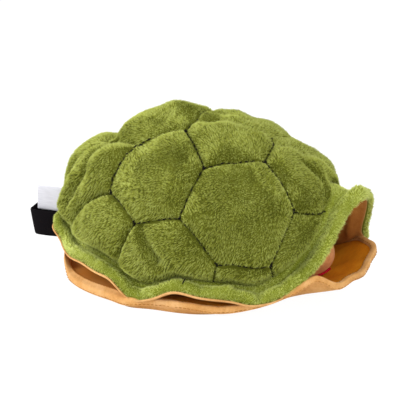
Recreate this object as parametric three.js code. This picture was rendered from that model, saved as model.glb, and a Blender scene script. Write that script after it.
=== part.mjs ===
// Turtle hand puppet: a quilted plush upper shell over a padded under shell, open at the front for the
// head and at the rear for the hand. Millimetres, +X towards the head, +Y to the turtle's left, +Z up.
// The origin is on the table, under the middle of the shell.
import * as THREE from 'three';

// Clearances
const GAP = 0.3;

// Free edge of the upper shell: a plan oval, and its height from the front (0 degrees) to the rear (180)
const RIM_FRONT = 128;
const RIM_REAR = 131;
const RIM_HALF_WIDTH = 95;
const RIM_SQUARENESS = 2.0;
const RIM_HEIGHTS = [
  [0, 87.5], [8, 83.5], [17, 71.5], [25, 56], [33, 41.5], [40, 32], [48, 23.5], [58, 16], [66, 17.5],
  [76, 18], [86, 18.5], [95, 11.5], [103, 8.5], [113, 19], [124, 24.5], [142, 27], [163, 39.5], [180, 43.5],
];

// Dome: how far its seam stands inside the free edge, and its crown
const BAND_REACH_FRONT = 24;
const BAND_REACH_REAR = 12;
const BAND_REACH_SIDE = 7;
const BAND_NARROWING = 4;
const SEAM_RISE = 10;
const SEAM_FLATTENING = 0.94;
const CROWN_X = -8;
const CROWN_Z = 129;
const DOME_FULLNESS = 2.55;
const REAR_FULLNESS = 0.35;

// Quilting: corners on the right half of the flat pattern (forward, sideways), before it is drawn to shape
const PATTERN_RADIUS = 150;
const QUILT_CORNERS = {
  spineFront: [56, -38], spineMid: [-5, -31], spineRear: [-69, -30], shoulder: [20, -66], flank: [-36, -45],
  breast: [96, -58], ribFront: [99, -99], ribMid: [51, -126], side: [8, -108], haunch: [-30, -107],
  hip: [-53, -86],
};
const RIM_CORNERS = { collar: 15, front: 45, mid: 67.5, rear: 112.5, hind: 150, tail: 165 };
const SEAM_DEPTH = 5;
const QUILT_CROWN = 13;
const FRONT_CELL_FILL = 0.45;
const FULL_CELL = 30;
const QUILT_RINGS = [[1, 0], [0.74, 0.66], [0.4, 0.94]];
const SEAM_STEPS = 2;
const RIM_STEP = 7.5;

// Layers of the upper shell, from the pile inwards
const COVER_THICKNESS = 2.5;
const WADDING_AT_SEAM = 6;
const LINING_THICKNESS = 1.5;

// Edge band of the upper shell and the facing inside it
const BAND_THICKNESS = 4;
const BAND_CROWN = 1;
const BAND_NOSE = 2;
const BAND_NOSE_DEPTH = 1.6;
const FACING_THICKNESS = 1.2;
const FACING_SETBACK = 1;

// Under shell: flat sole, edge and lip
const SOLE_FRONT = 84;
const SOLE_REAR = 118;
const SOLE_HALF_WIDTH = 77;
const HEM_FRONT = 129;
const HEM_REAR = 124;
const HEM_HALF_WIDTH = 81;
const SOLE_SQUARENESS = 2.15;
const HEM_HEIGHTS = [
  [0, 23], [14, 27], [24, 31], [33, 30], [43, 23], [52, 17], [65, 11], [90, 8], [110, 8], [140, 10],
  [180, 12],
];
const SOLE_CURL = 1.8;
const PAD_THICKNESS = 8.5;
const PAD_EDGE_THICKNESS = 6;
const SOLE_SKIN = 1.8;
const PAD_LINING = 1.4;
const HEM_THICKNESS = 1.6;
const HEM_LAP_SHARE = 0.2;
const HEM_CLEARANCE = 0.5;

// Gussets that sew the two shells together at each side
const GUSSET_FROM = 67.5;
const GUSSET_TO = 112.5;
const GUSSET_THICKNESS = 2;
const GUSSET_LAP = 6;
const GUSSET_CLEARANCE = 0.8;

// Hand entry, sleeve and neck
const CUFF_REAR_X = -106;
const CUFF_LENGTH = 16;
const CUFF_HALF_WIDTH = 38;
const CUFF_HEIGHT = 28;
const CUFF_WALL = 2.4;
const HAND_TUBE_SQUARENESS = 3;
const SLEEVE_FRONT_X = 0;
const SLEEVE_HALF_WIDTH = 18;
const SLEEVE_HALF_HEIGHT = 17;
const SLEEVE_FRONT_Z = 31;
const SLEEVE_WALL = 1.6;
const NECK_SETBACK = 3.6;
const NECK_WALL = 1.4;
const NECK_SQUARENESS = 2;

// Head and its finger pocket
const HEAD_X = 73;
const HEAD_Z = 33;
const HEAD_HALF_LENGTH = 29;
const HEAD_HALF_WIDTH = 24;
const HEAD_HALF_HEIGHT = 20.5;
const HEAD_TAPER = 0.1;
const HEAD_OPENING_X = 51;
const HEAD_SKIN = 1.8;
const POCKET_REAR_X = 36;
const POCKET_TIP_X = 58;
const POCKET_RADIUS = 9;
const POCKET_WALL = 1.4;
const NOD_CLEARANCE = 0.4;
const NOD_ANGLE = 12;
const EYE_RADIUS = 3.2;
const EYE_HEIGHT = 2.2;
const EYE_FROM_NOSE = 62;
const EYE_FROM_TOP = 48;
const MOUTH_RADIUS = 0.8;
const MOUTH_FROM_NOSE = 38;
const MOUTH_CORNER_FROM_NOSE = 68;
const MOUTH_CORNER_DROP = 26;

// Hanging loop of webbing, with a folded label in it
const LOOP_ROOT_CLEARANCE = 0.5;
const LOOP_LENGTH = 34;
const LOOP_HALF_SPREAD = 9;
const WEBBING_WIDTH = 21;
const WEBBING_THICKNESS = 1.6;
const LOOP_LOW_Z = 30.5;
const LOOP_HIGH_Z = 44.5;
const LOOP_ROOT_CHAMFER = 2;
const LABEL_FROM_ROOT = 4;
const LABEL_LENGTH = 24;
const LABEL_WIDTH = 20;
const LABEL_THICKNESS = 0.5;
const LABEL_PLY_GAP = 0.4;
const LABEL_Z = 45;

const RIM_ANGLES = Array.from({ length: 360 / RIM_STEP }, (_, i) => i * RIM_STEP);
const radians = THREE.MathUtils.degToRad;
const at = (x, y, z) => new THREE.Vector3(x, y, z);
const mix = THREE.MathUtils.lerp;

// Height read from a table of [degrees, height] by a smooth curve, the same on the left and the right
function heightAt(table, degrees) {
  const folded = Math.abs(THREE.MathUtils.euclideanModulo(degrees + 180, 360) - 180);
  const entry = (i) => {
    if (i < 0) return [-table[-i][0], table[-i][1]];
    const over = i - (table.length - 1);
    if (over > 0) return [360 - table[table.length - 1 - over][0], table[table.length - 1 - over][1]];
    return table[i];
  };
  let i = table.findIndex(([a], k) => k > 0 && folded <= a) - 1;
  if (i < 0) i = 0;
  const [[a0, h0], [a1, h1], [a2, h2], [a3, h3]] = [entry(i - 1), entry(i), entry(i + 1), entry(i + 2)];
  const t = (folded - a1) / (a2 - a1);
  const slope1 = ((h2 - h0) / (a2 - a0)) * (a2 - a1);
  const slope2 = ((h3 - h1) / (a3 - a1)) * (a2 - a1);
  const t2 = t * t;
  const t3 = t2 * t;
  const rising = 3 * t2 - 2 * t3;
  return mix(h1, h2, rising) + (t3 - 2 * t2 + t) * slope1 + (t3 - t2) * slope2;
}

// Point of an oval whose front and rear halves differ; a squareness of 2 is an ellipse
function oval(degrees, front, rear, halfWidth, squareness) {
  const c = Math.cos(radians(degrees));
  const s = Math.sin(radians(degrees));
  const k = (Math.abs(c) ** squareness + Math.abs(s) ** squareness) ** (-1 / squareness);
  return [(c > 0 ? front : rear) * c * k, halfWidth * s * k];
}

// Closed solid from an indexed skin, with its faces turned outwards
function solidFrom(points, triangles) {
  let volume = 0;
  for (const [a, b, c] of triangles) {
    volume += points[a].dot(at(0, 0, 0).crossVectors(points[b], points[c]));
  }
  const faces = volume < 0 ? triangles.map(([a, b, c]) => [a, c, b]) : triangles;
  const geometry = new THREE.BufferGeometry();
  const coordinates = points.flatMap((p) => [p.x, p.y, p.z]);
  geometry.setAttribute('position', new THREE.Float32BufferAttribute(coordinates, 3));
  geometry.setIndex(faces.flat());
  geometry.computeVertexNormals();
  return geometry;
}

// Skin over a row of rings with equal counts: the first and last are a pole, a flat cap or joined to each
// other. From the ring numbered turn on, the faces are cut along their other diagonal, so that a skin's two
// sides match.
function ringSolid(rings, { ring = false, turn = rings.length } = {}) {
  const points = [];
  const triangles = [];
  const rows = rings.map((row) => {
    const list = Array.isArray(row) ? row : [row];
    return list.map((p) => points.push(p) - 1);
  });
  const bridge = (lower, upper, turned) => {
    const count = Math.max(lower.length, upper.length);
    for (let i = 0; i < count; i += 1) {
      const next = (i + 1) % count;
      const [a, b] = lower.length === 1 ? [lower[0], lower[0]] : [lower[i], lower[next]];
      const [c, d] = upper.length === 1 ? [upper[0], upper[0]] : [upper[i], upper[next]];
      if (a !== b) triangles.push(turned ? [a, b, c] : [a, b, d]);
      if (c !== d) triangles.push(turned ? [b, d, c] : [a, d, c]);
    }
  };
  for (let i = 0; i + 1 < rows.length; i += 1) bridge(rows[i], rows[i + 1], i >= turn);
  if (ring) {
    bridge(rows[rows.length - 1], rows[0], false);
    return solidFrom(points, triangles);
  }
  for (const row of [rows[0], [...rows[rows.length - 1]].reverse()]) {
    for (let i = 1; i + 1 < row.length; i += 1) triangles.push([row[0], row[i + 1], row[i]]);
  }
  return solidFrom(points, triangles);
}

// Upper shell: free edge, seam line and dome
const rimHeight = (degrees) => heightAt(RIM_HEIGHTS, degrees);

function rimPoint(degrees) {
  const [x, y] = oval(degrees, RIM_FRONT, RIM_REAR, RIM_HALF_WIDTH, RIM_SQUARENESS);
  return at(x, y, rimHeight(degrees));
}

function seamPoint(degrees) {
  const [x, y] = oval(degrees, RIM_FRONT, RIM_REAR - BAND_REACH_REAR, RIM_HALF_WIDTH - BAND_REACH_SIDE,
    RIM_SQUARENESS);
  const ahead = Math.max(0, Math.cos(radians(degrees)));
  const reach = BAND_REACH_FRONT * ahead ** BAND_NARROWING;
  return at(x - reach, y, rimHeight(degrees) * SEAM_FLATTENING + SEAM_RISE);
}

// Dome over the flat pattern: along each ray from the crown to the seam it follows a superellipse
function domePoint(forward, sideways) {
  const share = Math.hypot(forward, sideways) / PATTERN_RADIUS;
  const ray = Math.atan2(sideways, forward);
  const seam = seamPoint(THREE.MathUtils.radToDeg(ray));
  const fullness = DOME_FULLNESS - REAR_FULLNESS * Math.cos(ray);
  const [s, c] = [Math.sin((share * Math.PI) / 2), Math.cos((share * Math.PI) / 2)];
  const k = (Math.abs(s) ** fullness + Math.abs(c) ** fullness) ** (-1 / fullness);
  return at(mix(CROWN_X, seam.x, k * s), seam.y * k * s, mix(seam.z, CROWN_Z, k * c));
}

function domeOffset([forward, sideways], distance) {
  const step = 0.1;
  const along = domePoint(forward + step, sideways).sub(domePoint(forward - step, sideways));
  const across = domePoint(forward, sideways + step).sub(domePoint(forward, sideways - step));
  const outward = along.cross(across).normalize();
  return domePoint(forward, sideways).addScaledVector(outward, distance);
}

const onRim = (degrees) => [
  PATTERN_RADIUS * Math.cos(radians(degrees)), PATTERN_RADIUS * Math.sin(radians(degrees)),
];

// Outline of one quilted cell: corners by name, sewn lines between them, and the rim where two rim corners
// meet
function cellOutline(names) {
  const place = (name) => {
    const mirrored = name.endsWith('*') ? -1 : 1;
    const plain = name.replace('*', '');
    if (plain in RIM_CORNERS) return { rim: -mirrored * RIM_CORNERS[plain] };
    const [forward, sideways] = QUILT_CORNERS[plain];
    return { corner: [forward, mirrored * sideways] };
  };
  const outline = [];
  names.forEach((name, i) => {
    const from = place(name);
    const to = place(names[(i + 1) % names.length]);
    if (from.rim !== undefined && to.rim !== undefined) {
      const span = THREE.MathUtils.euclideanModulo(to.rim - from.rim + 180, 360) - 180;
      const steps = Math.round(Math.abs(span) / RIM_STEP);
      for (let k = 0; k < steps; k += 1) outline.push(onRim(from.rim + (span * k) / steps));
      return;
    }
    const a = from.corner ?? onRim(from.rim);
    const b = to.corner ?? onRim(to.rim);
    for (let k = 0; k < SEAM_STEPS; k += 1) {
      outline.push([mix(a[0], b[0], k / SEAM_STEPS), mix(a[1], b[1], k / SEAM_STEPS)]);
    }
  });
  return outline;
}

const RIGHT_CELLS = [
  ['flank', 'spineMid', 'shoulder', 'side', 'haunch', 'hip'],
  ['shoulder', 'spineFront', 'breast', 'ribFront', 'ribMid', 'side'],
  ['spineRear', 'flank', 'hip', 'hind', 'tail'],
  ['hip', 'haunch', 'rear', 'hind'],
  ['haunch', 'side', 'ribMid', 'mid', 'rear'],
  ['ribMid', 'ribFront', 'front', 'mid'],
  ['ribFront', 'breast', 'collar', 'front'],
];
const SPINE_CELLS = [
  ['spineFront', 'shoulder', 'spineMid', 'spineMid*', 'shoulder*', 'spineFront*'],
  ['spineMid', 'flank', 'spineRear', 'spineRear*', 'flank*', 'spineMid*'],
  ['spineRear', 'tail', 'tail*', 'spineRear*'],
  ['collar', 'breast', 'spineFront', 'spineFront*', 'breast*', 'collar*'],
];
const mirrorName = (name) => (name.endsWith('*') ? name.slice(0, -1) : `${name}*`);
const CELLS = [
  ...RIGHT_CELLS,
  ...RIGHT_CELLS.map((cell) => cell.map(mirrorName).reverse()),
  ...SPINE_CELLS,
].map((names) => ({
  outline: cellOutline(names),
  fullness: names.includes('collar') && names.includes('collar*') ? FRONT_CELL_FILL : 1,
}));

// Shell between two surfaces over the quilting pattern; depth(lift) gives a surface's distance from the
// dome, where lift runs from 0 on a sewn line to 1 on the crown of a full cell
function quiltedShell(outerDepth, innerDepth) {
  const points = [];
  const triangles = [];
  const known = new Map();
  const pointAt = (place, depth, layer) => {
    const key = [layer, ...place.map((value) => Math.round(value * 1000) + 0)].join(':');
    if (!known.has(key)) known.set(key, points.push(domeOffset(place, depth)) - 1);
    return known.get(key);
  };
  const rimEdges = [];
  for (const { outline, fullness } of CELLS) {
    const middle = [0, 1].map((k) => outline.reduce((sum, p) => sum + p[k], 0) / outline.length);
    const reach = Math.min(...outline.map((p) => Math.hypot(p[0] - middle[0], p[1] - middle[1])));
    const fill = fullness * Math.min(1, reach / FULL_CELL);
    for (const [layer, depth] of [['outer', outerDepth], ['inner', innerDepth]]) {
      const rings = QUILT_RINGS.map(([scale, lift]) => outline.map((p) => pointAt(
        [mix(middle[0], p[0], scale), mix(middle[1], p[1], scale)], depth(lift * fill), layer)));
      const top = pointAt(middle, depth(fill), layer);
      const face = (a, b, c) => triangles.push(layer === 'outer' ? [a, b, c] : [a, c, b]);
      outline.forEach((_, i) => {
        const next = (i + 1) % outline.length;
        for (let r = 0; r + 1 < rings.length; r += 1) {
          face(rings[r][i], rings[r][next], rings[r + 1][next]);
          face(rings[r][i], rings[r + 1][next], rings[r + 1][i]);
        }
        const last = rings[rings.length - 1];
        face(last[i], last[next], top);
      });
    }
    outline.forEach((p, i) => {
      const q = outline[(i + 1) % outline.length];
      const isRim = [p, q].every((v) => Math.abs(Math.hypot(...v) - PATTERN_RADIUS) < 0.001);
      if (isRim) rimEdges.push([p, q]);
    });
  }
  for (const [p, q] of rimEdges) {
    const [a, b] = [pointAt(p, outerDepth(0), 'outer'), pointAt(q, outerDepth(0), 'outer')];
    const [c, d] = [pointAt(p, innerDepth(0), 'inner'), pointAt(q, innerDepth(0), 'inner')];
    triangles.push([b, a, c], [b, c, d]);
  }
  return solidFrom(points, triangles);
}

const coverOuter = (lift) => -SEAM_DEPTH + lift * QUILT_CROWN;
const coverInner = (lift) => coverOuter(lift) - COVER_THICKNESS;
const waddingOuter = (lift) => coverInner(lift) - GAP;
const waddingInner = () => waddingOuter(0) - WADDING_AT_SEAM;
const liningOuter = () => waddingInner() - GAP;
const liningInner = () => liningOuter() - LINING_THICKNESS;

// Edge band: from the dome's seam to the free edge, with a rounded nose, and the facing under it
function bandFrame(degrees) {
  const start = domeOffset(onRim(degrees), coverOuter(0)).add(at(0, 0, -GAP));
  const end = rimPoint(degrees);
  const outward = end.clone().sub(start);
  const length = outward.length();
  outward.normalize();
  const level = domeOffset(onRim(degrees), 1).sub(domeOffset(onRim(degrees), 0));
  const around = at(0, 0, 1).cross(level);
  const inward = outward.clone().cross(around).normalize();
  if (inward.z > 0) inward.negate();
  const place = (along, depth) => start.clone()
    .addScaledVector(outward, along)
    .addScaledVector(inward, depth);
  return { place, length };
}

function bandSection(degrees) {
  const { place, length } = bandFrame(degrees);
  return [
    place(0, 0), place(length / 2, -BAND_CROWN), place(length - BAND_NOSE, 0),
    place(length, BAND_NOSE_DEPTH), place(length - BAND_NOSE / 2, BAND_THICKNESS), place(0, BAND_THICKNESS),
  ];
}

function facingSection(degrees) {
  const { place, length } = bandFrame(degrees);
  const upper = BAND_THICKNESS + GAP;
  const lower = upper + FACING_THICKNESS;
  const root = domeOffset(onRim(degrees), liningInner()).add(at(0, 0, -GAP));
  const end = length - BAND_NOSE - FACING_SETBACK;
  return [
    place(end, upper), place(0, upper), root, root.clone().add(at(0, 0, -FACING_THICKNESS)),
    place(0, lower), place(end, lower),
  ];
}

// Under shell: rings from the middle of the sole to its edge, with a height for the underside and the pad on
// it
function padFrame(degrees) {
  const sole = oval(degrees, SOLE_FRONT, SOLE_REAR, SOLE_HALF_WIDTH, SOLE_SQUARENESS);
  const edge = oval(degrees, HEM_FRONT, HEM_REAR, HEM_HALF_WIDTH, SOLE_SQUARENESS);
  const edgeHeight = heightAt(HEM_HEIGHTS, degrees) - PAD_EDGE_THICKNESS;
  const curled = (share) => ({
    plan: [mix(sole[0], edge[0], share), mix(sole[1], edge[1], share)],
    under: edgeHeight * share ** SOLE_CURL,
    thickness: mix(PAD_THICKNESS, PAD_EDGE_THICKNESS, share),
  });
  return [
    { plan: [sole[0] / 2, sole[1] / 2], under: 0, thickness: PAD_THICKNESS },
    curled(0), curled(0.5), curled(1 - HEM_LAP_SHARE), curled(1),
  ];
}

// Layer of the under shell between two surfaces, each given as a height above the underside
function padLayer(lower, upper) {
  const level = (k, height) => RIM_ANGLES.map((degrees) => {
    const { plan, under, thickness } = padFrame(degrees)[k];
    return at(plan[0], plan[1], under + height(thickness));
  });
  const rows = [0, 1, 2, 3, 4];
  return ringSolid([
    at(0, 0, lower(PAD_THICKNESS)), ...rows.map((k) => level(k, lower)),
    ...rows.reverse().map((k) => level(k, upper)), at(0, 0, upper(PAD_THICKNESS)),
  ], { turn: rows.length + 1 });
}

function hemSection(degrees) {
  const [, , , lapLine, edge] = padFrame(degrees);
  const step = RIM_STEP / 2;
  const [before, after] = [degrees - step, degrees + step].map((turned) => padFrame(turned).at(-1).plan);
  const outward = at(after[1] - before[1], before[0] - after[0], 0).normalize();
  const top = (data) => at(data.plan[0], data.plan[1], data.under + data.thickness);
  const lap = top(lapLine);
  const wall = (height, out) => at(edge.plan[0], edge.plan[1], height).addScaledVector(outward, out);
  const high = edge.under + edge.thickness + HEM_CLEARANCE;
  return [
    lap.clone().add(at(0, 0, HEM_CLEARANCE)), wall(high, GAP), wall(edge.under, GAP),
    wall(edge.under, GAP + HEM_THICKNESS), wall(high + HEM_THICKNESS * 0.6, GAP + HEM_THICKNESS),
    wall(high + HEM_THICKNESS, GAP), lap.clone().add(at(0, 0, HEM_CLEARANCE + HEM_THICKNESS)),
  ];
}

// Gusset: an upright strip from the dome's lining down to the lining of the under shell
function gusset(side) {
  const steps = Math.round((GUSSET_TO - GUSSET_FROM) / RIM_STEP);
  const rings = [];
  for (let i = 0; i <= steps; i += 1) {
    const degrees = side * mix(GUSSET_FROM, GUSSET_TO, i / steps);
    const outer = domeOffset(onRim(degrees), liningInner() - GUSSET_CLEARANCE);
    const inner = domeOffset(onRim(degrees), liningInner() - GUSSET_CLEARANCE - GUSSET_THICKNESS);
    const high = outer.z + GUSSET_LAP;
    const low = PAD_THICKNESS + GAP;
    rings.push([
      at(outer.x, outer.y, low), at(outer.x, outer.y, high),
      at(inner.x, inner.y, high), at(inner.x, inner.y, low),
    ]);
  }
  return ringSolid(rings);
}

// Open tube through a row of sections [x, half width, half height, middle height], with an even wall
function openTube(sections, wall, squareness) {
  const sides = 24;
  const ringAt = ([x, halfWidth, halfHeight, z], inset) => Array.from({ length: sides }, (_, i) => {
    const [across, upward] = oval((i * 360) / sides, 1, 1, 1, squareness);
    return at(x, across * (halfWidth - inset), z + upward * (halfHeight - inset));
  });
  const outer = sections.map((section) => ringAt(section, 0));
  const inner = sections.map((section) => ringAt(section, wall)).reverse();
  return ringSolid([...outer, ...inner], { ring: true });
}

const cuffBottom = PAD_THICKNESS + GAP;
const cuffSection = (x) => [x, CUFF_HALF_WIDTH, CUFF_HEIGHT / 2, cuffBottom + CUFF_HEIGHT / 2];
const cuffFrontX = CUFF_REAR_X + CUFF_LENGTH;
const sleeveEnd = [SLEEVE_FRONT_X, SLEEVE_HALF_WIDTH, SLEEVE_HALF_HEIGHT, SLEEVE_FRONT_Z];
const neckRadius = POCKET_RADIUS + GAP + NECK_WALL;
const sleeveStart = cuffSection(cuffFrontX + GAP);
const sleeveSections = [0, 0.35, 0.7, 1].map(
  (share) => sleeveStart.map((value, k) => mix(value, sleeveEnd[k], share)));
const neckStart = [SLEEVE_FRONT_X + GAP, SLEEVE_HALF_WIDTH, SLEEVE_HALF_HEIGHT, SLEEVE_FRONT_Z];
const neckEnd = [HEAD_OPENING_X - NECK_SETBACK, neckRadius, neckRadius, HEAD_Z];
const neckWaist = [POCKET_REAR_X, neckRadius + GAP, neckRadius + GAP, HEAD_Z];

// Head: an egg along X, narrower at the nose; angle 0 is the nose and 180 the back of the skull
function headPoint(fromNose, around, inset) {
  const c = Math.cos(radians(fromNose));
  const s = Math.sin(radians(fromNose)) * (1 - HEAD_TAPER * c);
  const [y, z] = [Math.sin(radians(around)), Math.cos(radians(around))];
  return at(HEAD_X + (HEAD_HALF_LENGTH - inset) * c, (HEAD_HALF_WIDTH - inset) * s * y,
    HEAD_Z + (HEAD_HALF_HEIGHT - inset) * s * z);
}

const HEAD_SIDES = 20;
const HEAD_RINGS = 9;

function headRings(inset) {
  const last = THREE.MathUtils.radToDeg(Math.acos((HEAD_OPENING_X - HEAD_X) / (HEAD_HALF_LENGTH - inset)));
  const ringAt = (fromNose) => Array.from({ length: HEAD_SIDES }, (_, k) => headPoint(
    fromNose, (k * 360) / HEAD_SIDES, inset));
  return Array.from({ length: HEAD_RINGS }, (_, i) => ringAt((last * (i + 1)) / HEAD_RINGS));
}

function headCover() {
  return ringSolid([
    headPoint(0, 0, 0), ...headRings(0), ...headRings(HEAD_SKIN).reverse(), headPoint(0, 0, HEAD_SKIN),
  ], { turn: HEAD_RINGS + 1 });
}

// Stuffing: fills the head round a hollow in which the finger pocket can tilt as the head nods
function headStuffing() {
  const inset = HEAD_SKIN + GAP;
  const hollow = POCKET_RADIUS + NOD_CLEARANCE;
  const mouthDepth = POCKET_TIP_X - HEAD_OPENING_X;
  const mouthRadius = hollow + mouthDepth * Math.tan(radians(NOD_ANGLE));
  const hollowRing = (x, radius) => Array.from({ length: HEAD_SIDES }, (_, k) => {
    const angle = radians((k * 360) / HEAD_SIDES);
    return at(x, radius * Math.sin(angle), HEAD_Z + radius * Math.cos(angle));
  });
  const dome = [90, 60, 30].map((angle) => hollowRing(
    POCKET_TIP_X + hollow * Math.cos(radians(angle)), hollow * Math.sin(radians(angle))));
  return ringSolid([
    headPoint(0, 0, inset), ...headRings(inset), hollowRing(HEAD_OPENING_X, mouthRadius), ...dome,
    at(POCKET_TIP_X + hollow, 0, HEAD_Z),
  ]);
}

// Finger pocket: a tube with a round tip about the nodding axis, open to the rear
function headPocket() {
  const sides = 16;
  const ringAt = (x, radius) => Array.from({ length: sides }, (_, k) => {
    const angle = radians((k * 360) / sides);
    return at(x, radius * Math.sin(angle), HEAD_Z + radius * Math.cos(angle));
  });
  const tip = (radius) => [30, 60, 90].map((angle) => ringAt(
    POCKET_TIP_X + radius * Math.cos(radians(angle)), radius * Math.sin(radians(angle))));
  const inner = POCKET_RADIUS - POCKET_WALL;
  return ringSolid([
    at(POCKET_TIP_X + POCKET_RADIUS, 0, HEAD_Z), ...tip(POCKET_RADIUS), ringAt(POCKET_REAR_X, POCKET_RADIUS),
    ringAt(POCKET_REAR_X, inner), ...tip(inner).reverse(), at(POCKET_TIP_X + inner, 0, HEAD_Z),
  ]);
}

function headNormal(fromNose, around) {
  const step = 0.5;
  const down = headPoint(fromNose + step, around, 0).sub(headPoint(fromNose - step, around, 0));
  const round = headPoint(fromNose, around + step, 0).sub(headPoint(fromNose, around - step, 0));
  const normal = down.cross(round).normalize();
  const fromMiddle = headPoint(fromNose, around, 0).sub(at(HEAD_X, 0, HEAD_Z));
  return normal.dot(fromMiddle) < 0 ? normal.negate() : normal;
}

// Eye: a domed bead with a flat back, set on the cheek along the surface's normal
function eye(mesh, side) {
  const normal = headNormal(EYE_FROM_NOSE, side * EYE_FROM_TOP);
  mesh.position.copy(headPoint(EYE_FROM_NOSE, side * EYE_FROM_TOP, 0)).addScaledVector(normal, GAP);
  mesh.quaternion.setFromUnitVectors(at(0, 1, 0), normal);
  return mesh;
}

function eyeGeometry() {
  const profile = [new THREE.Vector2(0, 0), new THREE.Vector2(EYE_RADIUS, 0)];
  for (let angle = 15; angle < 90; angle += 15) {
    const [c, s] = [Math.cos(radians(angle)), Math.sin(radians(angle))];
    profile.push(new THREE.Vector2(EYE_RADIUS * c, EYE_HEIGHT * s));
  }
  profile.push(new THREE.Vector2(0, EYE_HEIGHT));
  return new THREE.LatheGeometry(profile, 16);
}

// Mouth: one heavy sewn line round the snout, lower at its corners
function mouthLine() {
  const path = [-1, -0.75, -0.5, -0.25, 0, 0.25, 0.5, 0.75, 1].map((share) => {
    const fromNose = mix(MOUTH_FROM_NOSE, MOUTH_CORNER_FROM_NOSE, share * share);
    const around = 180 + share * (90 - MOUTH_CORNER_DROP);
    const stand = MOUTH_RADIUS + 2 * GAP;
    return headPoint(fromNose, around, 0).addScaledVector(headNormal(fromNose, around), stand);
  });
  const section = new THREE.Shape().absarc(0, 0, MOUTH_RADIUS, 0, 2 * Math.PI);
  const extrudePath = new THREE.CatmullRomCurve3(path);
  const settings = { steps: 24, curveSegments: 3, bevelEnabled: false, extrudePath };
  return new THREE.ExtrudeGeometry(section, settings);
}

// Webbing loop: a flat strip that runs out from the rear edge, round and back, rising as it returns
const loopRootX = Math.min(...bandSection(180).map((point) => point.x)) - LOOP_ROOT_CLEARANCE;
const loopAxisX = loopRootX - LOOP_ROOT_CHAMFER;

function flatStrip(path, thickness, width, endThickness = thickness) {
  return ringSolid(path.map(([x, y, z], i) => {
    const before = path[Math.max(0, i - 1)];
    const after = path[Math.min(path.length - 1, i + 1)];
    const normal = at(after[1] - before[1], before[0] - after[0], 0).normalize();
    const isEnd = i === 0 || i === path.length - 1;
    const outer = isEnd ? endThickness - thickness / 2 : thickness / 2;
    const corner = (side, up) => at(x, y, z + (up * width) / 2).addScaledVector(normal, side);
    return [corner(-thickness / 2, -1), corner(outer, -1), corner(outer, 1), corner(-thickness / 2, 1)];
  }));
}

function loopPath() {
  const steps = 24;
  const half = (GAP + WEBBING_THICKNESS) / 2;
  const path = [[loopRootX, -half, LOOP_LOW_Z], [loopAxisX, -half, LOOP_LOW_Z]];
  for (let i = 1; i < steps; i += 1) {
    const turn = (i / steps) * 2 * Math.PI;
    const out = (1 - Math.cos(turn)) / 2;
    const swing = -Math.sin(turn) * Math.sqrt(out);
    const x = loopAxisX - out * (LOOP_LENGTH - LOOP_ROOT_CHAMFER);
    const y = swing * LOOP_HALF_SPREAD - half * Math.cos(turn / 2);
    path.push([x, y, mix(LOOP_LOW_Z, LOOP_HIGH_Z, i / steps)]);
  }
  path.push([loopAxisX, half, LOOP_HIGH_Z], [loopRootX, half, LOOP_HIGH_Z]);
  return path;
}

function labelPath() {
  const half = (LABEL_PLY_GAP + LABEL_THICKNESS) / 2;
  const startX = loopRootX - LABEL_FROM_ROOT;
  const foldX = startX - LABEL_LENGTH;
  const path = [[startX, -half, LABEL_Z]];
  for (let angle = 0; angle <= 180; angle += 45) {
    path.push([foldX - half * Math.sin(radians(angle)), -half * Math.cos(radians(angle)), LABEL_Z]);
  }
  path.push([startX, half, LABEL_Z]);
  return path;
}

// Assembly
const puppet = new THREE.Group();

function add(name, geometry, color, { roughness = 0.95, metalness = 0 } = {}) {
  const mesh = new THREE.Mesh(geometry, new THREE.MeshStandardMaterial({ color, roughness, metalness }));
  mesh.name = name;
  puppet.add(mesh);
  return mesh;
}

const GREEN = 0x7c9638;
const TAN = 0xc98f4a;
const BROWN = 0x8a5220;
const SKIN = 0xb06a48;

add('carapace_cover', quiltedShell(coverOuter, coverInner), GREEN);
add('carapace_wadding', quiltedShell(waddingOuter, waddingInner), 0xe9e6de);
add('carapace_lining', quiltedShell(liningOuter, liningInner), BROWN);
add('rim_band', ringSolid(RIM_ANGLES.map(bandSection), { ring: true }), 0x76923a);
add('rim_facing', ringSolid(RIM_ANGLES.map(facingSection), { ring: true }), TAN);
add('plastron_cover', padLayer(() => 0, () => SOLE_SKIN), TAN);
add('plastron_wadding', padLayer(() => SOLE_SKIN + GAP, (t) => t - PAD_LINING - GAP), 0xe9e6de);
add('plastron_lining', padLayer((t) => t - PAD_LINING, (t) => t), 0x925208);
add('plastron_hem', ringSolid(RIM_ANGLES.map(hemSection), { ring: true }), 0xd09a52);
add('side_gusset_left', gusset(1), BROWN);
add('side_gusset_right', gusset(-1), BROWN);
add('hand_cuff', openTube([CUFF_REAR_X, cuffFrontX].map(cuffSection), CUFF_WALL, HAND_TUBE_SQUARENESS), TAN);
add('hand_sleeve', openTube(sleeveSections, SLEEVE_WALL, HAND_TUBE_SQUARENESS), TAN);
add('neck_sleeve', openTube([neckStart, neckWaist, neckEnd], NECK_WALL, NECK_SQUARENESS), SKIN);
add('head_pocket', headPocket(), BROWN);
add('head_cover', headCover(), SKIN);
add('head_stuffing', headStuffing(), 0xf0eee6);
eye(add('eye_left', eyeGeometry(), 0x15110e, { roughness: 0.2 }), 1);
eye(add('eye_right', eyeGeometry(), 0x15110e, { roughness: 0.2 }), -1);
add('mouth_line', mouthLine(), 0xb5001e, { roughness: 0.7 });
add('hang_loop', flatStrip(loopPath(), WEBBING_THICKNESS, WEBBING_WIDTH, WEBBING_THICKNESS * 0.5), 0x1a1719);
add('label', flatStrip(labelPath(), LABEL_THICKNESS, LABEL_WIDTH), 0xf1f1f2, { roughness: 0.6 });

export default puppet;
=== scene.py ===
"""Turtle hand puppet: quilted plush upper shell, padded under shell and a head on a finger pocket."""

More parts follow.
